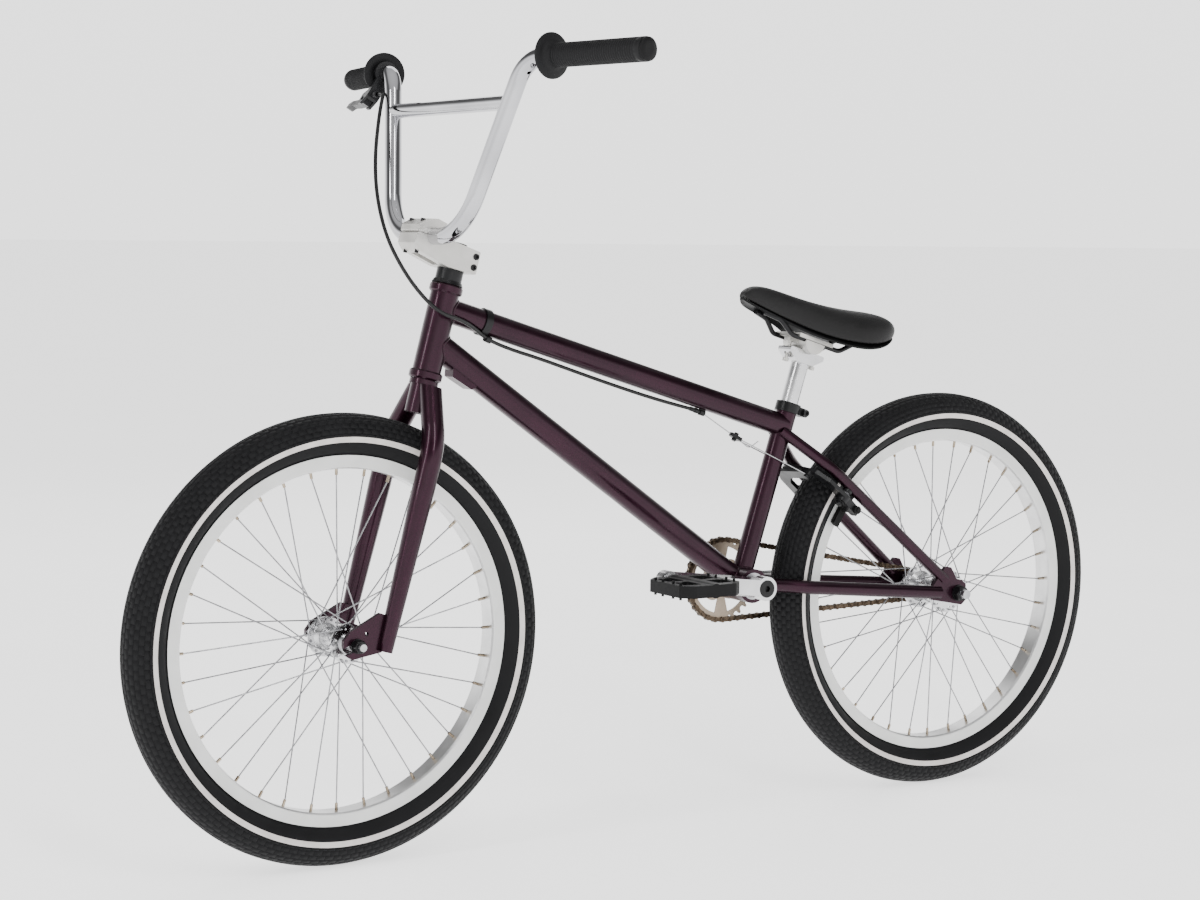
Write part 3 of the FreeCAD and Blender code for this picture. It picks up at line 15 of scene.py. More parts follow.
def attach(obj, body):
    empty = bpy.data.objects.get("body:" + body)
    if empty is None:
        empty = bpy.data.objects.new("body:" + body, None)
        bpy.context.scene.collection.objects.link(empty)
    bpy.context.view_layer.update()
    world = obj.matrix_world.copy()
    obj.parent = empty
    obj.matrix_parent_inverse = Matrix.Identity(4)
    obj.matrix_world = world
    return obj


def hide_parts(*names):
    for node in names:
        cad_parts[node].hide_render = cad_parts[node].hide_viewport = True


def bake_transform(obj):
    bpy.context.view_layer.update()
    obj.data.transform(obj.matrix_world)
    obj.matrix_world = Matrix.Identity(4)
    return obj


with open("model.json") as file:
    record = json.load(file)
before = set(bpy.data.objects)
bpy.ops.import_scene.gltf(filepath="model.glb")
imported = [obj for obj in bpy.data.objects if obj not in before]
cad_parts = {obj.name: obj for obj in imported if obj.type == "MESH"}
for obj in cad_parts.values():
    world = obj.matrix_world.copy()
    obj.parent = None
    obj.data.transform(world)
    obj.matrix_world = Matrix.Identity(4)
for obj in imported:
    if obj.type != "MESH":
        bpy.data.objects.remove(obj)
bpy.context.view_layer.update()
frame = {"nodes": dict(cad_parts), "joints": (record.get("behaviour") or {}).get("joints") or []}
nodes = frame["nodes"]

# %% [markdown]
# The exact model knows where each of its joints turns. The centres of the two axles come back again
# and again: everything on a wheel is round about one of them, so a wheel's patterns are drawn by their
# distance from it. The cranks turn in the middle of the bottom bracket shell.


# %% The places that later cells share
def joint_place(name):
    """The point that a joint of the exact model turns about, in metres."""
    return next(Vector(joint["pos_m"]) for joint in frame["joints"] if joint["name"] == name)


ACROSS = Vector((0, 1, 0))
FRONT_AXLE = joint_place("front_wheel_spin")
REAR_AXLE = joint_place("rear_wheel_spin")
SHELL = joint_place("crank_spin")
WHEELS = (("front", FRONT_AXLE), ("rear", REAR_AXLE))
print("wheelbase", round((FRONT_AXLE - REAR_AXLE).length, 4))


# %% [markdown]
# A finish is a node material. Real surfaces are never one flat colour: paint holds tiny flakes, metal
# carries brush marks and fingerprints, rubber goes grey in patches. Each finish below starts from the
# same short recipe: a Principled shader, a coarse noise that shifts colour and roughness a little, and
# a fine noise that feeds a bump. Object coordinates are used, so the grain keeps its true size.


# %% A small kit for wiring finishes
def new_finish(name, metallic, roughness):
    """An empty finish: its material, its node tree and its Principled shader."""
    material = bpy.data.materials.new(name)
    material.use_nodes = True
    tree = material.node_tree
    shader = tree.nodes["Principled BSDF"]
    shader.inputs["Metallic"].default_value = metallic
    shader.inputs["Roughness"].default_value = roughness
    return material, tree, shader


def add_node(tree, kind, **settings):
    node = tree.nodes.new(kind)
    for key, value in settings.items():
        setattr(node, key, value)
    return node


def object_place(tree, centre=(0, 0, 0)):
    """Object coordinates in metres, measured from a centre."""
    source = add_node(tree, "ShaderNodeTexCoord")
    mapping = add_node(tree, "ShaderNodeMapping")
    mapping.inputs["Location"].default_value = [-part for part in centre]
    tree.links.new(source.outputs["Object"], mapping.inputs["Vector"])
    return mapping.outputs["Vector"]


def noise(tree, place, scale, detail=3.0):
    texture = add_node(tree, "ShaderNodeTexNoise")
    texture.inputs["Scale"].default_value = scale
    texture.inputs["Detail"].default_value = detail
    tree.links.new(place, texture.inputs["Vector"])
    return texture.outputs["Fac"]


def ramp(tree, value, low, high, start, end):
    """A colour that slides from start to end as the value goes from low to high."""
    node = add_node(tree, "ShaderNodeValToRGB")
    node.color_ramp.elements[0].position = low
    node.color_ramp.elements[1].position = high
    node.color_ramp.elements[0].color = (*start, 1)
    node.color_ramp.elements[1].color = (*end, 1)
    tree.links.new(value, node.inputs["Fac"])
    return node.outputs["Color"]


def between(tree, value, low, high, start, end):
    """A number that goes from start to end as the value goes from low to high."""
    node = add_node(tree, "ShaderNodeMapRange")
    for socket, number in zip(("From Min", "From Max", "To Min", "To Max"), (low, high, start, end)):
        node.inputs[socket].default_value = number
    tree.links.new(value, node.inputs["Value"])
    return node.outputs["Result"]


def bump(tree, shader, height, distance):
    """Raise the surface by up to a distance in metres, for the shading only."""
    node = add_node(tree, "ShaderNodeBump")
    node.inputs["Distance"].default_value = distance
    node.inputs["Strength"].default_value = 1.0
    tree.links.new(height, node.inputs["Height"])
    tree.links.new(node.outputs["Normal"], shader.inputs["Normal"])


def surface(name, dark, light, metallic=0.0, rough=(0.3, 0.45), patch=18, grain=900, depth=0.00002,
            shine=0.5):
    """The shared recipe: patches shift the colour and the roughness, and a fine grain gives the bump."""
    material, tree, shader = new_finish(name, metallic, rough[0])
    place = object_place(tree)
    patches = noise(tree, place, patch)
    tree.links.new(ramp(tree, patches, 0.3, 0.7, dark, light), shader.inputs["Base Color"])
    tree.links.new(between(tree, patches, 0.3, 0.7, rough[0], rough[1]), shader.inputs["Roughness"])
    bump(tree, shader, noise(tree, place, grain), depth)
    shader.inputs["Specular IOR Level"].default_value = shine
    return material


def dress(material, *names):
    """Give CAD nodes a finish."""
    for name in names:
        for slot in nodes[name].material_slots:
            slot.material = material
    print(material.name, "on", ", ".join(names))


def wheel_distances(tree, axle):
    """How far a point is from a wheel's axle and from the bike's mid plane, in metres."""
    place = object_place(tree, axle)
    split = add_node(tree, "ShaderNodeSeparateXYZ")
    tree.links.new(place, split.inputs["Vector"])
    flat = add_node(tree, "ShaderNodeCombineXYZ")
    tree.links.new(split.outputs["X"], flat.inputs["X"])
    tree.links.new(split.outputs["Z"], flat.inputs["Y"])
    length = add_node(tree, "ShaderNodeVectorMath", operation="LENGTH")
    tree.links.new(flat.outputs["Vector"], length.inputs[0])
    side = add_node(tree, "ShaderNodeMath", operation="ABSOLUTE")
    tree.links.new(split.outputs["Y"], side.inputs[0])
    return length.outputs["Value"], side.outputs["Value"]


def blend_colours(tree, share, first, second):
    """Mix two colours by a share between 0 and 1."""
    node = add_node(tree, "ShaderNodeMix", data_type="RGBA")
    tree.links.new(share, node.inputs["Factor"])
    tree.links.new(first, node.inputs["A"])
    tree.links.new(second, node.inputs["B"])
    return node.outputs["Result"]


print("finish kit ready")

# %% [markdown]
# The frame and fork wear a dark plum metallic paint under clear lacquer. A metallic paint is a dark
# colour full of tiny bright flakes. Voronoi cells a fraction of a millimetre wide stand for the flakes,
# each with its own lightness, and the clear lacquer on top is the shader's coat.

# %% Plum metallic paint
FLAKES_PER_METRE = 2600
FLAKE_SHARE = 0.45
FLAKE_COLOURS = (0.006, 0.0010, 0.0036), (0.050, 0.0095, 0.029)
PLUM_COLOURS = (0.0095, 0.0020, 0.0054), (0.0160, 0.0034, 0.0090)


def make_plum_paint():
    material, tree, shader = new_finish("plum_paint", 0.85, 0.32)
    place = object_place(tree)
    flakes = add_node(tree, "ShaderNodeTexVoronoi")
    flakes.inputs["Scale"].default_value = FLAKES_PER_METRE
    tree.links.new(place, flakes.inputs["Vector"])
    split = add_node(tree, "ShaderNodeSeparateColor")
    tree.links.new(flakes.outputs["Color"], split.inputs["Color"])
    sparkle = ramp(tree, split.outputs["Red"], 0.35, 1.0, *FLAKE_COLOURS)
    cloud = ramp(tree, noise(tree, place, 7), 0.35, 0.65, *PLUM_COLOURS)
    share = add_node(tree, "ShaderNodeMix", data_type="RGBA", blend_type="ADD")
    share.inputs["Factor"].default_value = FLAKE_SHARE
    tree.links.new(cloud, share.inputs["A"])
    tree.links.new(sparkle, share.inputs["B"])
    tree.links.new(share.outputs["Result"], shader.inputs["Base Color"])
    tree.links.new(between(tree, noise(tree, place, 30), 0.3, 0.7, 0.26, 0.4), shader.inputs["Roughness"])
    bump(tree, shader, noise(tree, place, 160, 1.0), 0.00004)
    shader.inputs["Coat Weight"].default_value = 0.22
    shader.inputs["Coat Roughness"].default_value = 0.05
    return material


plum_paint = make_plum_paint()
dress(plum_paint, "head_tube", "top_tube", "down_tube", "seat_tube", "bottom_bracket_shell", "chain_stays",
      "seat_stays", "rear_dropouts", "fork_steerer", "fork_legs")

# %% [markdown]
# The bright metals differ mostly in how sharp their reflections are. Chrome on the handlebar is nearly
# a mirror with faint smears. The cranks, hubs and seat post are polished alloy, softer and a little
# uneven, and the stem and the saddle's clamp are satin. Plain steel parts are duller still. One recipe
# makes them all with different numbers.

# %% Bright metals
chrome = surface("bar_chrome", (0.42, 0.42, 0.44), (0.52, 0.52, 0.54),
                 metallic=1.0, rough=(0.03, 0.08), patch=14, grain=500, depth=0.000008)
polished_alloy = surface("polished_alloy", (0.55, 0.55, 0.56), (0.72, 0.72, 0.73),
                         metallic=1.0, rough=(0.16, 0.28), patch=22, grain=700)
satin_alloy = surface("satin_alloy", (0.50, 0.49, 0.465), (0.60, 0.59, 0.565),
                      metallic=0.75, rough=(0.34, 0.46), patch=40, depth=0.00003)
bare_steel = surface("bare_steel", (0.36, 0.36, 0.37), (0.52, 0.52, 0.53),
                     metallic=1.0, rough=(0.26, 0.4), patch=60, grain=1200)
spring_steel = surface("spring_steel", (0.22, 0.22, 0.23), (0.34, 0.34, 0.35),
                       metallic=1.0, rough=(0.3, 0.45), patch=60, grain=1200)
dress(chrome, "handlebar")
dress(polished_alloy, "left_crank_arm", "right_crank_arm", "seat_post", "front_hub", "rear_hub")
dress(satin_alloy, "stem_body", "stem_cap", "saddle_clamp")
dress(bare_steel, "frame_bearings", "rear_axle", "front_axle", "crank_spindle", "pedal_axles",
      "brake_wires")
dress(spring_steel, "driver_cog", "brake_springs")

# %% [markdown]
# Black parts come in three kinds here. Small metal parts are painted or anodised and keep a soft gloss.
# Moulded plastic is duller, with a fine spark-eroded grain left by its mould. Rubber shines least.

# %% Black metal, plastic and rubber
black_metal = surface("black_metal", (0.0035, 0.0035, 0.004), (0.008, 0.008, 0.009),
                      metallic=0.2, rough=(0.26, 0.4), patch=50, grain=1400, shine=0.3)
black_plastic = surface("black_plastic", (0.0025, 0.0025, 0.0027), (0.0055, 0.0055, 0.006),
                        rough=(0.40, 0.55), patch=35, grain=2200, depth=0.00006, shine=0.14)
pad_rubber = surface("pad_rubber", (0.003, 0.003, 0.003), (0.007, 0.007, 0.007),
                     rough=(0.6, 0.8), patch=60, grain=1800, depth=0.00005, shine=0.2)
dress(black_metal, "brake_bosses", "rear_axle_nuts", "front_axle_nuts", "seat_clamp", "headset_spacers",
      "stem_bolts", "crank_bolts", "left_brake_arm", "right_brake_arm", "cable_hanger", "cable_fittings",
      "saddle_rails", "brake_lever_bracket", "brake_lever")
dress(black_plastic, "left_pedal", "right_pedal", "saddle_base")
dress(pad_rubber, "left_brake_pad", "right_brake_pad", "front_inner_tube", "rear_inner_tube")

# %% [markdown]
# The sprocket is a warm bronze colour and the chain a darker one. A chain collects oil near its pins,
# so its patches are small and its colour wanders between brown and near black.

# %% Bronze drive
sprocket_bronze = surface("sprocket_bronze", (0.27, 0.215, 0.165), (0.40, 0.33, 0.26),
                          metallic=0.75, rough=(0.34, 0.5), patch=45, depth=0.00003)
chain_bronze = surface("chain_bronze", (0.022, 0.015, 0.010), (0.135, 0.098, 0.066),
                       metallic=0.85, rough=(0.3, 0.5), patch=260, grain=1600, depth=0.00003)
dress(sprocket_bronze, "sprocket")
dress(chain_bronze, "chain")

# %% [markdown]
# A rim here has two faces: white paint on its brake sides and bare polished metal on its inside. Both
# are on one piece, so the finish itself looks at how far a point is from the wheel's mid plane. The
# same idea turns each spoke's end into a brassy nipple, this time by distance from the axle.

# %% Rims and spokes
PAINT_STARTS, PAINT_FULL = 0.0152, 0.0156
NIPPLE_STARTS, NIPPLE_FULL = 0.2075, 0.2082


def make_rim_finish(name, axle):
    material, tree, shader = new_finish(name, 0.0, 0.3)
    place = object_place(tree)
    side = wheel_distances(tree, axle)[1]
    painted = between(tree, side, PAINT_STARTS, PAINT_FULL, 0.0, 1.0)
    metal = ramp(tree, noise(tree, place, 40), 0.3, 0.7, (0.62, 0.62, 0.62), (0.76, 0.76, 0.76))
    white = ramp(tree, noise(tree, place, 25), 0.3, 0.7, (0.66, 0.665, 0.65), (0.76, 0.765, 0.75))
    tree.links.new(blend_colours(tree, painted, metal, white), shader.inputs["Base Color"])
    tree.links.new(between(tree, painted, 0, 1, 1.0, 0.0), shader.inputs["Metallic"])
    tree.links.new(between(tree, painted, 0, 1, 0.32, 0.35), shader.inputs["Roughness"])
    bump(tree, shader, noise(tree, place, 500), 0.00002)
    return material


def make_spoke_finish(name, axle):
    material, tree, shader = new_finish(name, 1.0, 0.25)
    place = object_place(tree)
    radius = wheel_distances(tree, axle)[0]
    nipple = between(tree, radius, NIPPLE_STARTS, NIPPLE_FULL, 0.0, 1.0)
    steel = ramp(tree, noise(tree, place, 90), 0.3, 0.7, (0.20, 0.20, 0.21), (0.36, 0.36, 0.37))
    brass = ramp(tree, noise(tree, place, 90), 0.3, 0.7, (0.22, 0.17, 0.12), (0.46, 0.39, 0.30))
    tree.links.new(blend_colours(tree, nipple, steel, brass), shader.inputs["Base Color"])
    bump(tree, shader, noise(tree, place, 900), 0.00001)
    return material


for end, axle in WHEELS:
    dress(make_rim_finish(end + "_rim_finish", axle), end + "_rim")
    dress(make_spoke_finish(end + "_spoke_finish", axle), end + "_spokes")

# %% [markdown]
# The next cells make new pieces. Each gets its shape from a bmesh's operators or from a curve, and is
# then stored as an object that sits at the origin with its place in its mesh.


# %% Helpers for new pieces
def add_piece(name, mesh, body=None, slot=None, replaced=()):
    """Give a mesh smooth faces and an object of its own, and tie it to a body."""
    for polygon in mesh.polygons:
        polygon.use_smooth = True
    piece = bpy.data.objects.new(name, mesh)
    bpy.context.scene.collection.objects.link(piece)
    if replaced:
        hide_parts(*replaced)
    if body:
        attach(piece, body)
    print(name, len(mesh.polygons), "faces")
    return piece


def store(name, bm, materials, **ties):
    """Turn a bmesh into a piece with its finishes."""
    mesh = bpy.data.meshes.new(name)
    bm.to_mesh(mesh)
    bm.free()
    for material in materials:
        mesh.materials.append(material)
    return add_piece(name, mesh, **ties)


def store_route(name, curve, material, **ties):
    """Turn a curve with a round section into a mesh piece."""
    curve.materials.append(material)
    route = bpy.data.objects.new(name + "_route", curve)
    bpy.context.scene.collection.objects.link(route)
    bpy.context.view_layer.update()
    evaluated = route.evaluated_get(bpy.context.evaluated_depsgraph_get())
    mesh = bpy.data.meshes.new_from_object(evaluated)
    bpy.data.objects.remove(route)
    return add_piece(name, mesh, **ties)


def lathe(profile, steps, closed=True):
    """Spin a (radius, along) outline once round the Y axis. A closed outline makes a ring."""
    bm = bmesh.new()
    corners = [bm.verts.new((radius, along, 0)) for radius, along in profile]
    edges = [bm.edges.new((corners[i - 1], corners[i])) for i in range(0 if closed else 1, len(corners))]
    bmesh.ops.spin(bm, geom=corners + edges, cent=(0, 0, 0), axis=ACROSS, angle=2 * math.pi, steps=steps,
                   use_merge=True)
    bmesh.ops.remove_doubles(bm, verts=bm.verts, dist=1e-6)
    bmesh.ops.recalc_face_normals(bm, faces=bm.faces)
    return bm


print("piece helpers ready")

# %% [markdown]
# Where two frame tubes meet, a welder has run a bead round the joint: a small rope of overlapping
# ripples, painted over with the rest. The line of a joint between two round tubes is known exactly, so
# a curve follows it, its radius rises and falls once for each ripple, and the curve becomes a mesh.

# %% Weld beads
HEAD_LEAN = math.radians(15)
SEAT_LEAN = math.radians(18.2)
HEAD_TOP = Vector((0.3276, 0, 0.730))
TOP_TUBE_FRONT = Vector((0.3354, 0, 0.701))
TOP_TUBE_REAR = Vector((-0.2086, 0, 0.5333))
DOWN_TUBE_FRONT = Vector((0.334, 0, 0.6488))
SEAT_TUBE_FURTHER = SHELL + Vector((-math.sin(SEAT_LEAN), 0, math.cos(SEAT_LEAN))) * 0.2
TOP_TUBE_RADIUS = 0.0159
DOWN_TUBE_RADIUS = 0.01745
SEAT_TUBE_RADIUS = 0.0143
# a tube that others are welded to: a point on its axis, the axis and its radius
HEAD_TUBE = (HEAD_TOP, Vector((-math.sin(HEAD_LEAN), 0, math.cos(HEAD_LEAN))), 0.0185)
SHELL_TUBE = (SHELL, ACROSS, 0.0235)
# name, a point on the smaller tube's axis, a point further from the joint, its radius, the other tube
WELDS = [
    ("top_tube_front_weld", TOP_TUBE_FRONT, TOP_TUBE_REAR, TOP_TUBE_RADIUS, HEAD_TUBE),
    ("down_tube_front_weld", DOWN_TUBE_FRONT, SHELL, DOWN_TUBE_RADIUS, HEAD_TUBE),
    ("seat_tube_lower_weld", SHELL, SEAT_TUBE_FURTHER, SEAT_TUBE_RADIUS, SHELL_TUBE),
    ("down_tube_lower_weld", SHELL, DOWN_TUBE_FRONT, DOWN_TUBE_RADIUS, SHELL_TUBE),
]
BEAD_RADIUS = 0.0017
BEAD_POINTS = 240
POINTS_PER_RIPPLE = 5
RIPPLE_LOW = 0.82
RIPPLE_RISE = 0.18


def joint_point(start, along, radius, turn, other_tube):
    """The point of one tube's wall, at a turn about its axis, where it meets the other tube's wall."""
    base, axis, other_radius = other_tube
    outwards = along.cross(ACROSS).normalized()
    wall = start + (outwards * math.cos(turn) + ACROSS * math.sin(turn)) * radius
    flat = along - axis * along.dot(axis)
    offset = (wall - base) - axis * (wall - base).dot(axis)
    half = flat.dot(offset)
    room = half * half - flat.length_squared * (offset.length_squared - other_radius ** 2)
    return wall + along * ((-half + math.sqrt(max(room, 0.0))) / flat.length_squared)


def make_weld(name, start, further, radius, other_tube):
    along = (further - start).normalized()
    curve = bpy.data.curves.new(name, "CURVE")
    curve.dimensions = "3D"
    curve.bevel_depth = BEAD_RADIUS
    curve.bevel_resolution = 2
    spline = curve.splines.new("POLY")
    spline.points.add(BEAD_POINTS - 1)
    for number, point in enumerate(spline.points):
        turn = 2 * math.pi * number / BEAD_POINTS
        point.co = (*joint_point(start, along, radius, turn, other_tube), 1)
        point.radius = RIPPLE_LOW + RIPPLE_RISE * abs(math.cos(number * math.pi / POINTS_PER_RIPPLE))
    spline.use_cyclic_u = True
    store_route(name, curve, plum_paint, body="frame", slot="frame_paint")


for weld in WELDS:
    make_weld(*weld)

# %% [markdown]
# A tyre is a ring with a shaped section, so it is spun. The section is drawn once as distances from the
# axle and from the mid plane. The crown sits a little low, because the tread's blocks are raised from
# it later. The straight stretch low on each sidewall is the strip that takes the white line.

# %% Tyre section
CROWN_CENTRE = 0.25906
CROWN_HEIGHT = 0.02694
TYRE_HALF_WIDTH = 0.029
TREAD_ANGLES = [0, 13, 27, 41, 55, 70, 85]
TREAD_DEPTH = 0.0009
TREAD_STEPS = 288
WHITE_LINE_INNER = 0.2507
WHITE_LINE_OUTER = 0.2576
LOWER_WALL = [(0.259, TYRE_HALF_WIDTH), (WHITE_LINE_OUTER, 0.02885), (WHITE_LINE_INNER, 0.02713),
              (0.2470, 0.02547), (0.2445, 0.0240), (0.2410, 0.02136), (0.2380, 0.01837), (0.2346, 0.0137)]
INNER_WALL = [(0.2290, 0.0137), (0.2290, 0.0102), (0.2340, 0.0102), (0.2400, 0.01716), (0.2445, 0.0206),
              (0.2500, 0.02351), (0.2590, 0.0260), (0.2752, 0.0179), (0.2815, 0.0)]


def tyre_half_section():
    """Half the section as (distance from the axle, distance from the mid plane), from the crown inwards."""
    points = []
    for degrees in TREAD_ANGLES:
        angle = math.radians(degrees)
        points.append((CROWN_CENTRE + (CROWN_HEIGHT - TREAD_DEPTH) * math.cos(angle),
                       (TYRE_HALF_WIDTH - TREAD_DEPTH) * math.sin(angle)))
    return points + LOWER_WALL + INNER_WALL


half = tyre_half_section()
tyre_outline = half + [(radius, -side) for radius, side in reversed(half[1:-1])]
print("tyre outline", len(tyre_outline), "points")

# %% [markdown]
# Tyre rubber is black, greyer where it has been handled, with a fine moulded grain. The line is a warm
# white of the same rubber.

# %% Tyre finishes
tyre_rubber = surface("tyre_rubber", (0.0035, 0.0035, 0.0041), (0.0080, 0.0080, 0.0088),
                      rough=(0.55, 0.75), patch=28, grain=1300, depth=0.00006, shine=0.16)
white_line = surface("tyre_white_line", (0.56, 0.52, 0.495), (0.70, 0.66, 0.635),
                     rough=(0.4, 0.6), patch=60, grain=1300, depth=0.00004)
print("tyre finishes", tyre_rubber.name, white_line.name)

# %% [markdown]
# The tread is a brick pattern. Every second cross cut of the crown's bands is taken out, a step later in
# each next band. Each face that is left is then inset on its own and pushed outwards, which leaves a
# groove between each block and the next.

# %% Tyres with raised tread
CROWN_INSIDE = 0.0236
CROSS_CUT_TURN = 0.001
WHITE_LINE_SIDE = 0.0262
BLOCK_INSET = 0.00035


def tread_band(point):
    """Which band of the crown a point lies in, counted from the middle outwards, or None off the crown."""
    radius = math.hypot(point.x, point.z)
    if radius < CROWN_CENTRE or math.hypot(radius - CROWN_CENTRE, point.y) < CROWN_INSIDE:
        return None
    angle = math.degrees(math.atan2(point.y, radius - CROWN_CENTRE))
    bands = sum(1 for edge in TREAD_ANGLES[1:] if abs(angle) > edge)
    return bands if angle >= 0 else -bands - 1


def pair_up_blocks(bm):
    """Dissolve every second cross cut, a step later in each next band, so blocks lie like bricks."""
    doomed = []
    for edge in bm.edges:
        first, second = (vert.co for vert in edge.verts)
        turn = [math.atan2(point.z, point.x) for point in (first, second)]
        band = tread_band((first + second) / 2)
        if band is None or abs(turn[0] - turn[1]) > CROSS_CUT_TURN:
            continue
        step = round(turn[0] / (2 * math.pi) * TREAD_STEPS)
        if (step + band) % 2 == 0:
            doomed.append(edge)
    bmesh.ops.dissolve_edges(bm, edges=doomed, use_verts=False)
    print("cross cuts taken out", len(doomed))


def make_tyre(end, axle):
    bm = lathe(tyre_outline, TREAD_STEPS)
    pair_up_blocks(bm)
    blocks = []
    for face in bm.faces:
        middle = face.calc_center_median()
        band = tread_band(middle)
        if band is not None and abs(band) < len(TREAD_ANGLES):
            blocks.append(face)
        radius = math.hypot(middle.x, middle.z)
        if WHITE_LINE_INNER < radius < WHITE_LINE_OUTER and abs(middle.y) > WHITE_LINE_SIDE:
            face.material_index = 1
    bmesh.ops.inset_individual(bm, faces=blocks, thickness=BLOCK_INSET, depth=TREAD_DEPTH)
    bmesh.ops.translate(bm, verts=bm.verts, vec=axle)
    store(end + "_tyre_tread", bm, [tyre_rubber, white_line], body=end + "_wheel", slot="tyre_rubber",
          replaced=[end + "_tyre"])


for end, axle in WHEELS:
    make_tyre(end, axle)

# %% [markdown]
# A grip is a rubber sleeve with a wide flange and many thin ribs, closed by a domed plug. Both are
# bodies of revolution about the bar's end, so their outlines are spun, and the finished pieces are
# turned from the Y axis onto the bar.

# %% Grips
BAR_CORNER = Vector((0.3145, 0.1715, 1.0083))
BAR_END = Vector((0.2715, 0.3695, 1.009))
BAR_DIRECTION = (BAR_END - BAR_CORNER).normalized()
GRIP_START = 0.043
GRIP_LENGTH = (BAR_END - BAR_CORNER).length + 0.001 - GRIP_START
GRIP_RADIUS = 0.0148
SLEEVE_BORE = 0.0112
FLANGE_OUTLINE = [(SLEEVE_BORE, 0.0), (0.0272, 0.0), (0.0280, 0.0008), (0.0280, 0.0028), (0.0272, 0.0036),
                  (0.0205, 0.0044), (0.0165, 0.0062), (GRIP_RADIUS, 0.0085), (0.0143, 0.0105)]
RIBS_START = 0.0125
RIBS_STOP_SHORT = 0.012
RIB_PITCH = 0.0038
RIB_OUTLINE = [(0.01375, 0.0), (0.01375, 0.0012), (0.0146, 0.0016), (GRIP_RADIUS, 0.0024), (0.0146, 0.0032)]


def grip_outline():
    """(radius, distance along the bar) round the sleeve, with one rib for each pitch."""
    points = list(FLANGE_OUTLINE)
    along = RIBS_START
    while along < GRIP_LENGTH - RIBS_STOP_SHORT:
        points += [(radius, along + further) for radius, further in RIB_OUTLINE]
        along += RIB_PITCH
    collar = [(0.0140, along + 0.001), (GRIP_RADIUS, along + 0.002), (GRIP_RADIUS, GRIP_LENGTH - 0.001),
              (0.0142, GRIP_LENGTH), (SLEEVE_BORE, GRIP_LENGTH)]
    return points + collar


def put_on_bar(bm, mirrored):
    """Turn a spun piece from the Y axis onto the bar's left end, or mirror it onto the right end."""
    turn = ACROSS.rotation_difference(BAR_DIRECTION).to_matrix().to_4x4()
    bm.transform(Matrix.Translation(BAR_CORNER + BAR_DIRECTION * GRIP_START) @ turn)
    if mirrored:
        bmesh.ops.scale(bm, vec=(1, -1, 1), verts=bm.verts)
    bmesh.ops.recalc_face_normals(bm, faces=bm.faces)


def make_grip(side, mirrored):
    bm = lathe(grip_outline(), 64)
    put_on_bar(bm, mirrored)
    store(side + "_grip_sleeve", bm, [grip_rubber], body="fork_assembly", slot="soft_rubber",
          replaced=[side + "_grip"])


def make_bar_plug(side, mirrored):
    """The plug's domed cap, with its rim level with the sleeve's end."""
    outline = [(0.0, GRIP_LENGTH), (0.0142, GRIP_LENGTH), (0.0142, GRIP_LENGTH + 0.0022),
               (0.0130, GRIP_LENGTH + 0.0033), (0.0060, GRIP_LENGTH + 0.0035), (0.0, GRIP_LENGTH + 0.0032)]
    bm = lathe(outline, 48, closed=False)
    put_on_bar(bm, mirrored)
    store(side + "_bar_plug", bm, [black_plastic], body="fork_assembly", slot="soft_rubber")


grip_rubber = surface("grip_rubber", (0.003, 0.003, 0.0035), (0.007, 0.007, 0.0078),
                      rough=(0.5, 0.7), patch=70, grain=1500, depth=0.00005, shine=0.2)
for side, mirrored in (("left", False), ("right", True)):
    make_grip(side, mirrored)
    make_bar_plug(side, mirrored)

# %% [markdown]
# The brake cable's housing runs from the lever, round the front of the head tube and back under the top
# tube. It is one smooth curve with a round section. On the real bike its first half turns with the
# handlebar and its second half stays on the frame; here it is one piece that is tied to neither.

# %% Brake cable housing
HOUSING_RADIUS = 0.0025
HOUSING_ROUTE = [
    (0.32797, -0.18778, 0.97948), (0.33328, -0.16335, 0.97939), (0.3387, -0.1565, 0.9725),
    (0.354, -0.137, 0.946), (0.377, -0.104, 0.893), (0.394, -0.066, 0.841),
    (0.403, -0.022, 0.790), (0.397, 0.012, 0.749), (0.381, 0.032, 0.717),
    (0.355, 0.035, 0.695), (0.326, 0.028, 0.688), (0.300, 0.0185, 0.6775),
    (0.274, 0.006, 0.6615), (0.238, 0.0, 0.648), (0.188, 0.0, 0.6335),
    (0.135, 0.0, 0.616), (0.084, 0.0, 0.5995), (0.032, 0.0, 0.5835),
    (-0.014, 0.0, 0.5705), (-0.051, 0.0, 0.56136),
]


def make_housing():
    curve = bpy.data.curves.new("cable_housing_sheath", "CURVE")
    curve.dimensions = "3D"
    curve.bevel_depth = HOUSING_RADIUS
    curve.bevel_resolution = 5
    curve.resolution_u = 14
    curve.use_fill_caps = True
    spline = curve.splines.new("NURBS")
    spline.points.add(len(HOUSING_ROUTE) - 1)
    for point, place in zip(spline.points, HOUSING_ROUTE):
        point.co = (*place, 1)
    spline.order_u = 3
    spline.use_endpoint_u = True
    housing = store_route("cable_housing_sheath", curve, housing_sheath, slot="soft_rubber",
                          replaced=["brake_cable_housing"])
    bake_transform(housing)


housing_sheath = surface("housing_sheath", (0.003, 0.003, 0.0033), (0.007, 0.007, 0.0075),
                         patch=40, depth=0.00003, shine=0.3)
make_housing()

# %% [markdown]
# The saddle's cover is foam under a tight skin. It is one closed form: crowned along the middle, wide
# and kicked up at the tail, narrow at the nose, with its sides tucked under. A subdivision surface
# suits that better than a plain loft, because a coarse cage keeps the skin taut and smooth.

# %% Saddle cover
SADDLE_PIVOT = joint_place("saddle_tilt")
SADDLE_TILT = math.radians(17)
GRAIN_CELLS_PER_METRE = 620
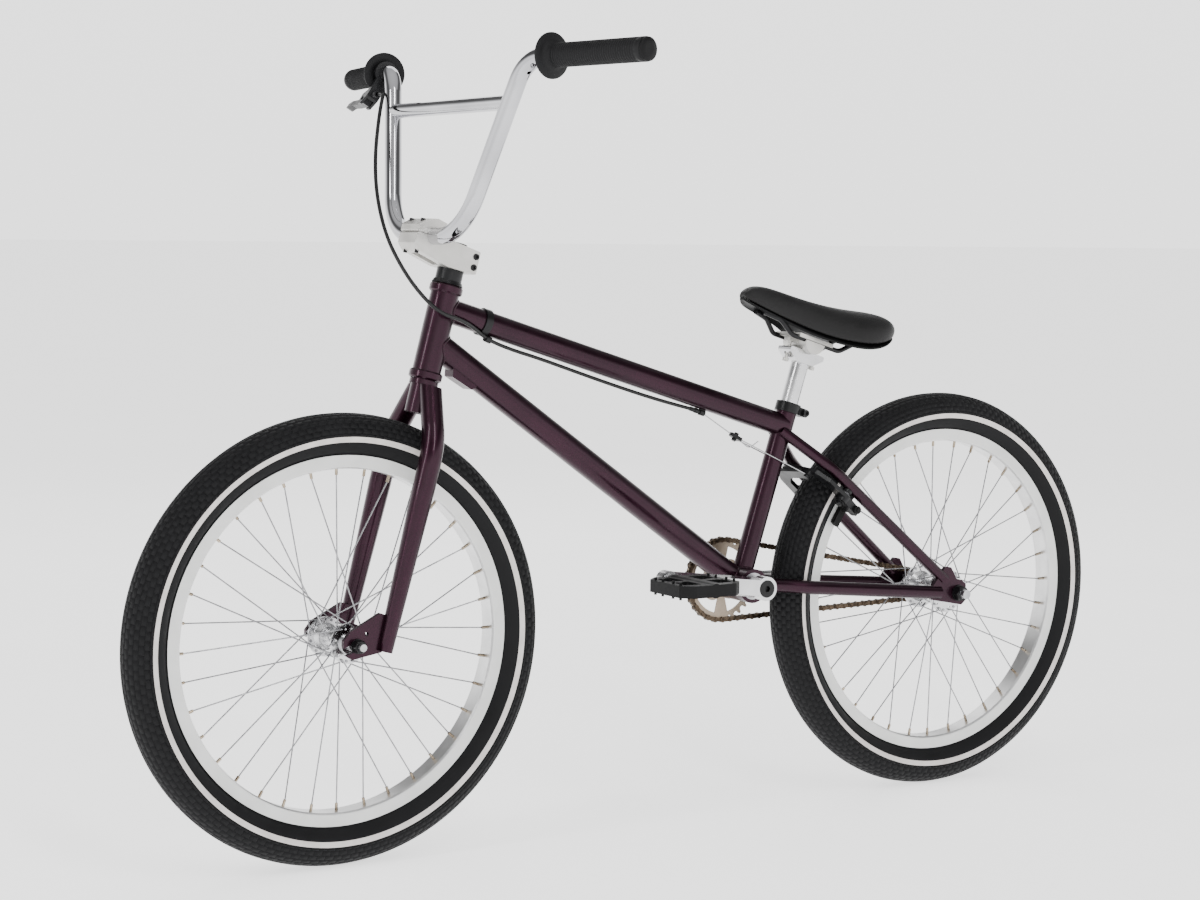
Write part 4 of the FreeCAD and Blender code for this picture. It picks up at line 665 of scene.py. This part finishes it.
# station, half width, crown height, lower edge, arch under the middle
SADDLE_STATIONS = [
    (0.121, 0.009, 0.038, 0.028, 0.029), (0.112, 0.017, 0.049, 0.024, 0.027),
    (0.088, 0.022, 0.054, 0.020, 0.026), (0.048, 0.027, 0.054, 0.015, 0.026),
    (0.004, 0.043, 0.055, 0.009, 0.026), (-0.040, 0.061, 0.060, 0.009, 0.028),
    (-0.078, 0.067, 0.068, 0.017, 0.034), (-0.104, 0.060, 0.070, 0.031, 0.041),
    (-0.118, 0.044, 0.064, 0.042, 0.047),
]


def make_saddle_skin():
    """Black grained leather cloth: cells for the grain, a slower noise for the worn patches."""
    material, tree, shader = new_finish("saddle_skin", 0.0, 0.5)
    place = object_place(tree)
    patches = noise(tree, place, 26)
    colour = ramp(tree, patches, 0.3, 0.7, (0.003, 0.0028, 0.003), (0.007, 0.0066, 0.007))
    tree.links.new(colour, shader.inputs["Base Color"])
    tree.links.new(between(tree, patches, 0.3, 0.7, 0.42, 0.58), shader.inputs["Roughness"])
    grain = add_node(tree, "ShaderNodeTexVoronoi", feature="DISTANCE_TO_EDGE")
    grain.inputs["Scale"].default_value = GRAIN_CELLS_PER_METRE
    tree.links.new(place, grain.inputs["Vector"])
    bump(tree, shader, between(tree, grain.outputs["Distance"], 0.0, 0.25, 0.0, 1.0), 0.00012)
    shader.inputs["Specular IOR Level"].default_value = 0.25
    return material


def saddle_ring(half_width, crown, low, arch):
    """Half of one rib of the cage, as (side, height), from the top of the crown to the middle below."""
    rise = crown - low
    return [(0.0, crown), (half_width * 0.45, crown - 0.0012), (half_width * 0.80, crown - rise * 0.16),
            (half_width * 0.985, low + rise * 0.55), (half_width * 0.985, low + rise * 0.18),
            (half_width - 0.0035, low + 0.0004), (half_width * 0.62, low + (arch - low) * 0.62 + 0.0006),
            (0.0, arch + 0.0008)]


def make_saddle():
    bm = bmesh.new()
    rings = []
    for station, half_width, crown, low, arch in SADDLE_STATIONS:
        right = saddle_ring(half_width, crown, low, arch)
        whole = right + [(-side, height) for side, height in reversed(right[1:-1])]
        corners = [bm.verts.new((station, side, height)) for side, height in whole]
        rings.append([bm.edges.new((corners[i - 1], corners[i])) for i in range(len(corners))])
    for first, second in zip(rings, rings[1:]):
        bmesh.ops.bridge_loops(bm, edges=first + second)
    for end_ring in (rings[0], rings[-1]):
        cap = bmesh.ops.edgeloop_fill(bm, edges=end_ring)["faces"]
        bmesh.ops.inset_region(bm, faces=cap, thickness=0.003, depth=0.0006)
    bmesh.ops.recalc_face_normals(bm, faces=bm.faces)
    bm.transform(Matrix.Translation(SADDLE_PIVOT) @ Matrix.Rotation(-SADDLE_TILT, 4, "Y"))
    cover = store("saddle_padded_cover", bm, [make_saddle_skin()], body="saddle", slot="saddle_leather",
                  replaced=["saddle_cover"])
    smoother = cover.modifiers.new("taut skin", "SUBSURF")
    smoother.levels = 3
    smoother.render_levels = 3


make_saddle()

# %% [markdown]
# The bike stands on a plain pale floor in soft light. The floor glows a little, so that it stays almost
# as light as the sky behind it, and three large lamps give the chrome and the lacquer something to
# reflect.

# %% Floor and lamps
FLOOR_SIZE = 300
FLOOR_GLOW = 1.4
LAMP_AIM = Vector((0, 0, 0.5))
# name, place, width and height, power in watts
LAMPS = [
    ("key_lamp", (0.6, 3.2, 3.4), (0.5, 3.2), 70),
    ("rim_lamp", (3.4, 0.4, 2.4), (0.5, 2.4), 45),
    ("far_lamp", (-1.5, -3.0, 3.0), (2.5, 2.5), 40),
]


def make_floor():
    bm = bmesh.new()
    bmesh.ops.create_grid(bm, x_segments=1, y_segments=1, size=FLOOR_SIZE)
    floor_finish = surface("floor_finish", (0.86, 0.86, 0.86), (0.90, 0.90, 0.90),
                           rough=(0.9, 0.95), patch=2, grain=40, depth=0.00001, shine=0.0)
    shader = floor_finish.node_tree.nodes["Principled BSDF"]
    shader.inputs["Emission Color"].default_value = (1, 1, 1, 1)
    shader.inputs["Emission Strength"].default_value = FLOOR_GLOW
    store("studio_floor", bm, [floor_finish])


def make_lamp(name, place, size, power):
    data = bpy.data.lights.new(name, "AREA")
    data.shape = "RECTANGLE"
    data.size, data.size_y = size
    data.energy = power
    lamp = bpy.data.objects.new(name, data)
    lamp.location = place
    lamp.rotation_euler = (LAMP_AIM - Vector(place)).to_track_quat("-Z", "Y").to_euler()
    bpy.context.scene.collection.objects.link(lamp)
    print(name, power, "W")


make_floor()
for lamp in LAMPS:
    make_lamp(*lamp)

# %% [markdown]
# A sky of one brightness would make chrome look like grey paint. This one is bright at the horizon,
# dark above it and brighter again overhead, so the bars and the tubes carry clear light and dark bands.

# %% Sky
SKY_STRENGTH = 2.3
# height above the horizon, as the sine of its angle, and the brightness there
SKY_BANDS = [
    (0.0, 0.97), (0.10, 1.0), (0.19, 1.0), (0.30, 0.40),
    (0.42, 0.08), (0.60, 0.07), (0.74, 0.32), (1.0, 0.42),
]


def make_sky():
    sky = bpy.data.worlds.new("studio_sky")
    sky.use_nodes = True
    tree = sky.node_tree
    direction = add_node(tree, "ShaderNodeTexCoord")
    split = add_node(tree, "ShaderNodeSeparateXYZ")
    tree.links.new(direction.outputs["Generated"], split.inputs["Vector"])
    bands = add_node(tree, "ShaderNodeValToRGB")
    stops = bands.color_ramp.elements
    for number, (height, light) in enumerate(SKY_BANDS):
        stop = stops[number] if number < 2 else stops.new(height)
        stop.position = height
        stop.color = (light, light, light, 1)
    tree.links.new(split.outputs["Z"], bands.inputs["Fac"])
    background = tree.nodes["Background"]
    tree.links.new(bands.outputs["Color"], background.inputs["Color"])
    background.inputs["Strength"].default_value = SKY_STRENGTH
    bpy.context.scene.world = sky
    print("sky bands", len(SKY_BANDS))


make_sky()

# %% [markdown]
# The camera has a long lens and stands low, to the bike's front left. Its direction is given by three
# turns: round to the side, down, and a slight roll.

# %% Camera
SENSOR_WIDTH_MM = 36
LENS_MM = 74.64
CAMERA_PLACE = (1.87316, 2.78001, 0.791)
CAMERA_YAW = math.radians(32.62)
CAMERA_PITCH = math.radians(4.86)
CAMERA_ROLL = math.radians(-0.52)


def make_camera():
    data = bpy.data.cameras.new("portrait_camera")
    data.sensor_width = SENSOR_WIDTH_MM
    data.lens = LENS_MM
    camera = bpy.data.objects.new("portrait_camera", data)
    level = Vector((-math.sin(CAMERA_YAW), -math.cos(CAMERA_YAW), 0)) * math.cos(CAMERA_PITCH)
    forward = level - Vector((0, 0, math.sin(CAMERA_PITCH)))
    right = forward.cross(Vector((0, 0, 1))).normalized()
    down = forward.cross(right)
    turned_right = right * math.cos(CAMERA_ROLL) + down * math.sin(CAMERA_ROLL)
    turned_down = down * math.cos(CAMERA_ROLL) - right * math.sin(CAMERA_ROLL)
    turn = Matrix((turned_right, -turned_down, -forward)).transposed().to_4x4()
    camera.matrix_world = Matrix.Translation(CAMERA_PLACE) @ turn
    bpy.context.scene.collection.objects.link(camera)
    bpy.context.scene.camera = camera
    print("camera at", tuple(round(part, 3) for part in camera.location))


make_camera()

# %% Bring the scene up to date
bpy.context.view_layer.update()
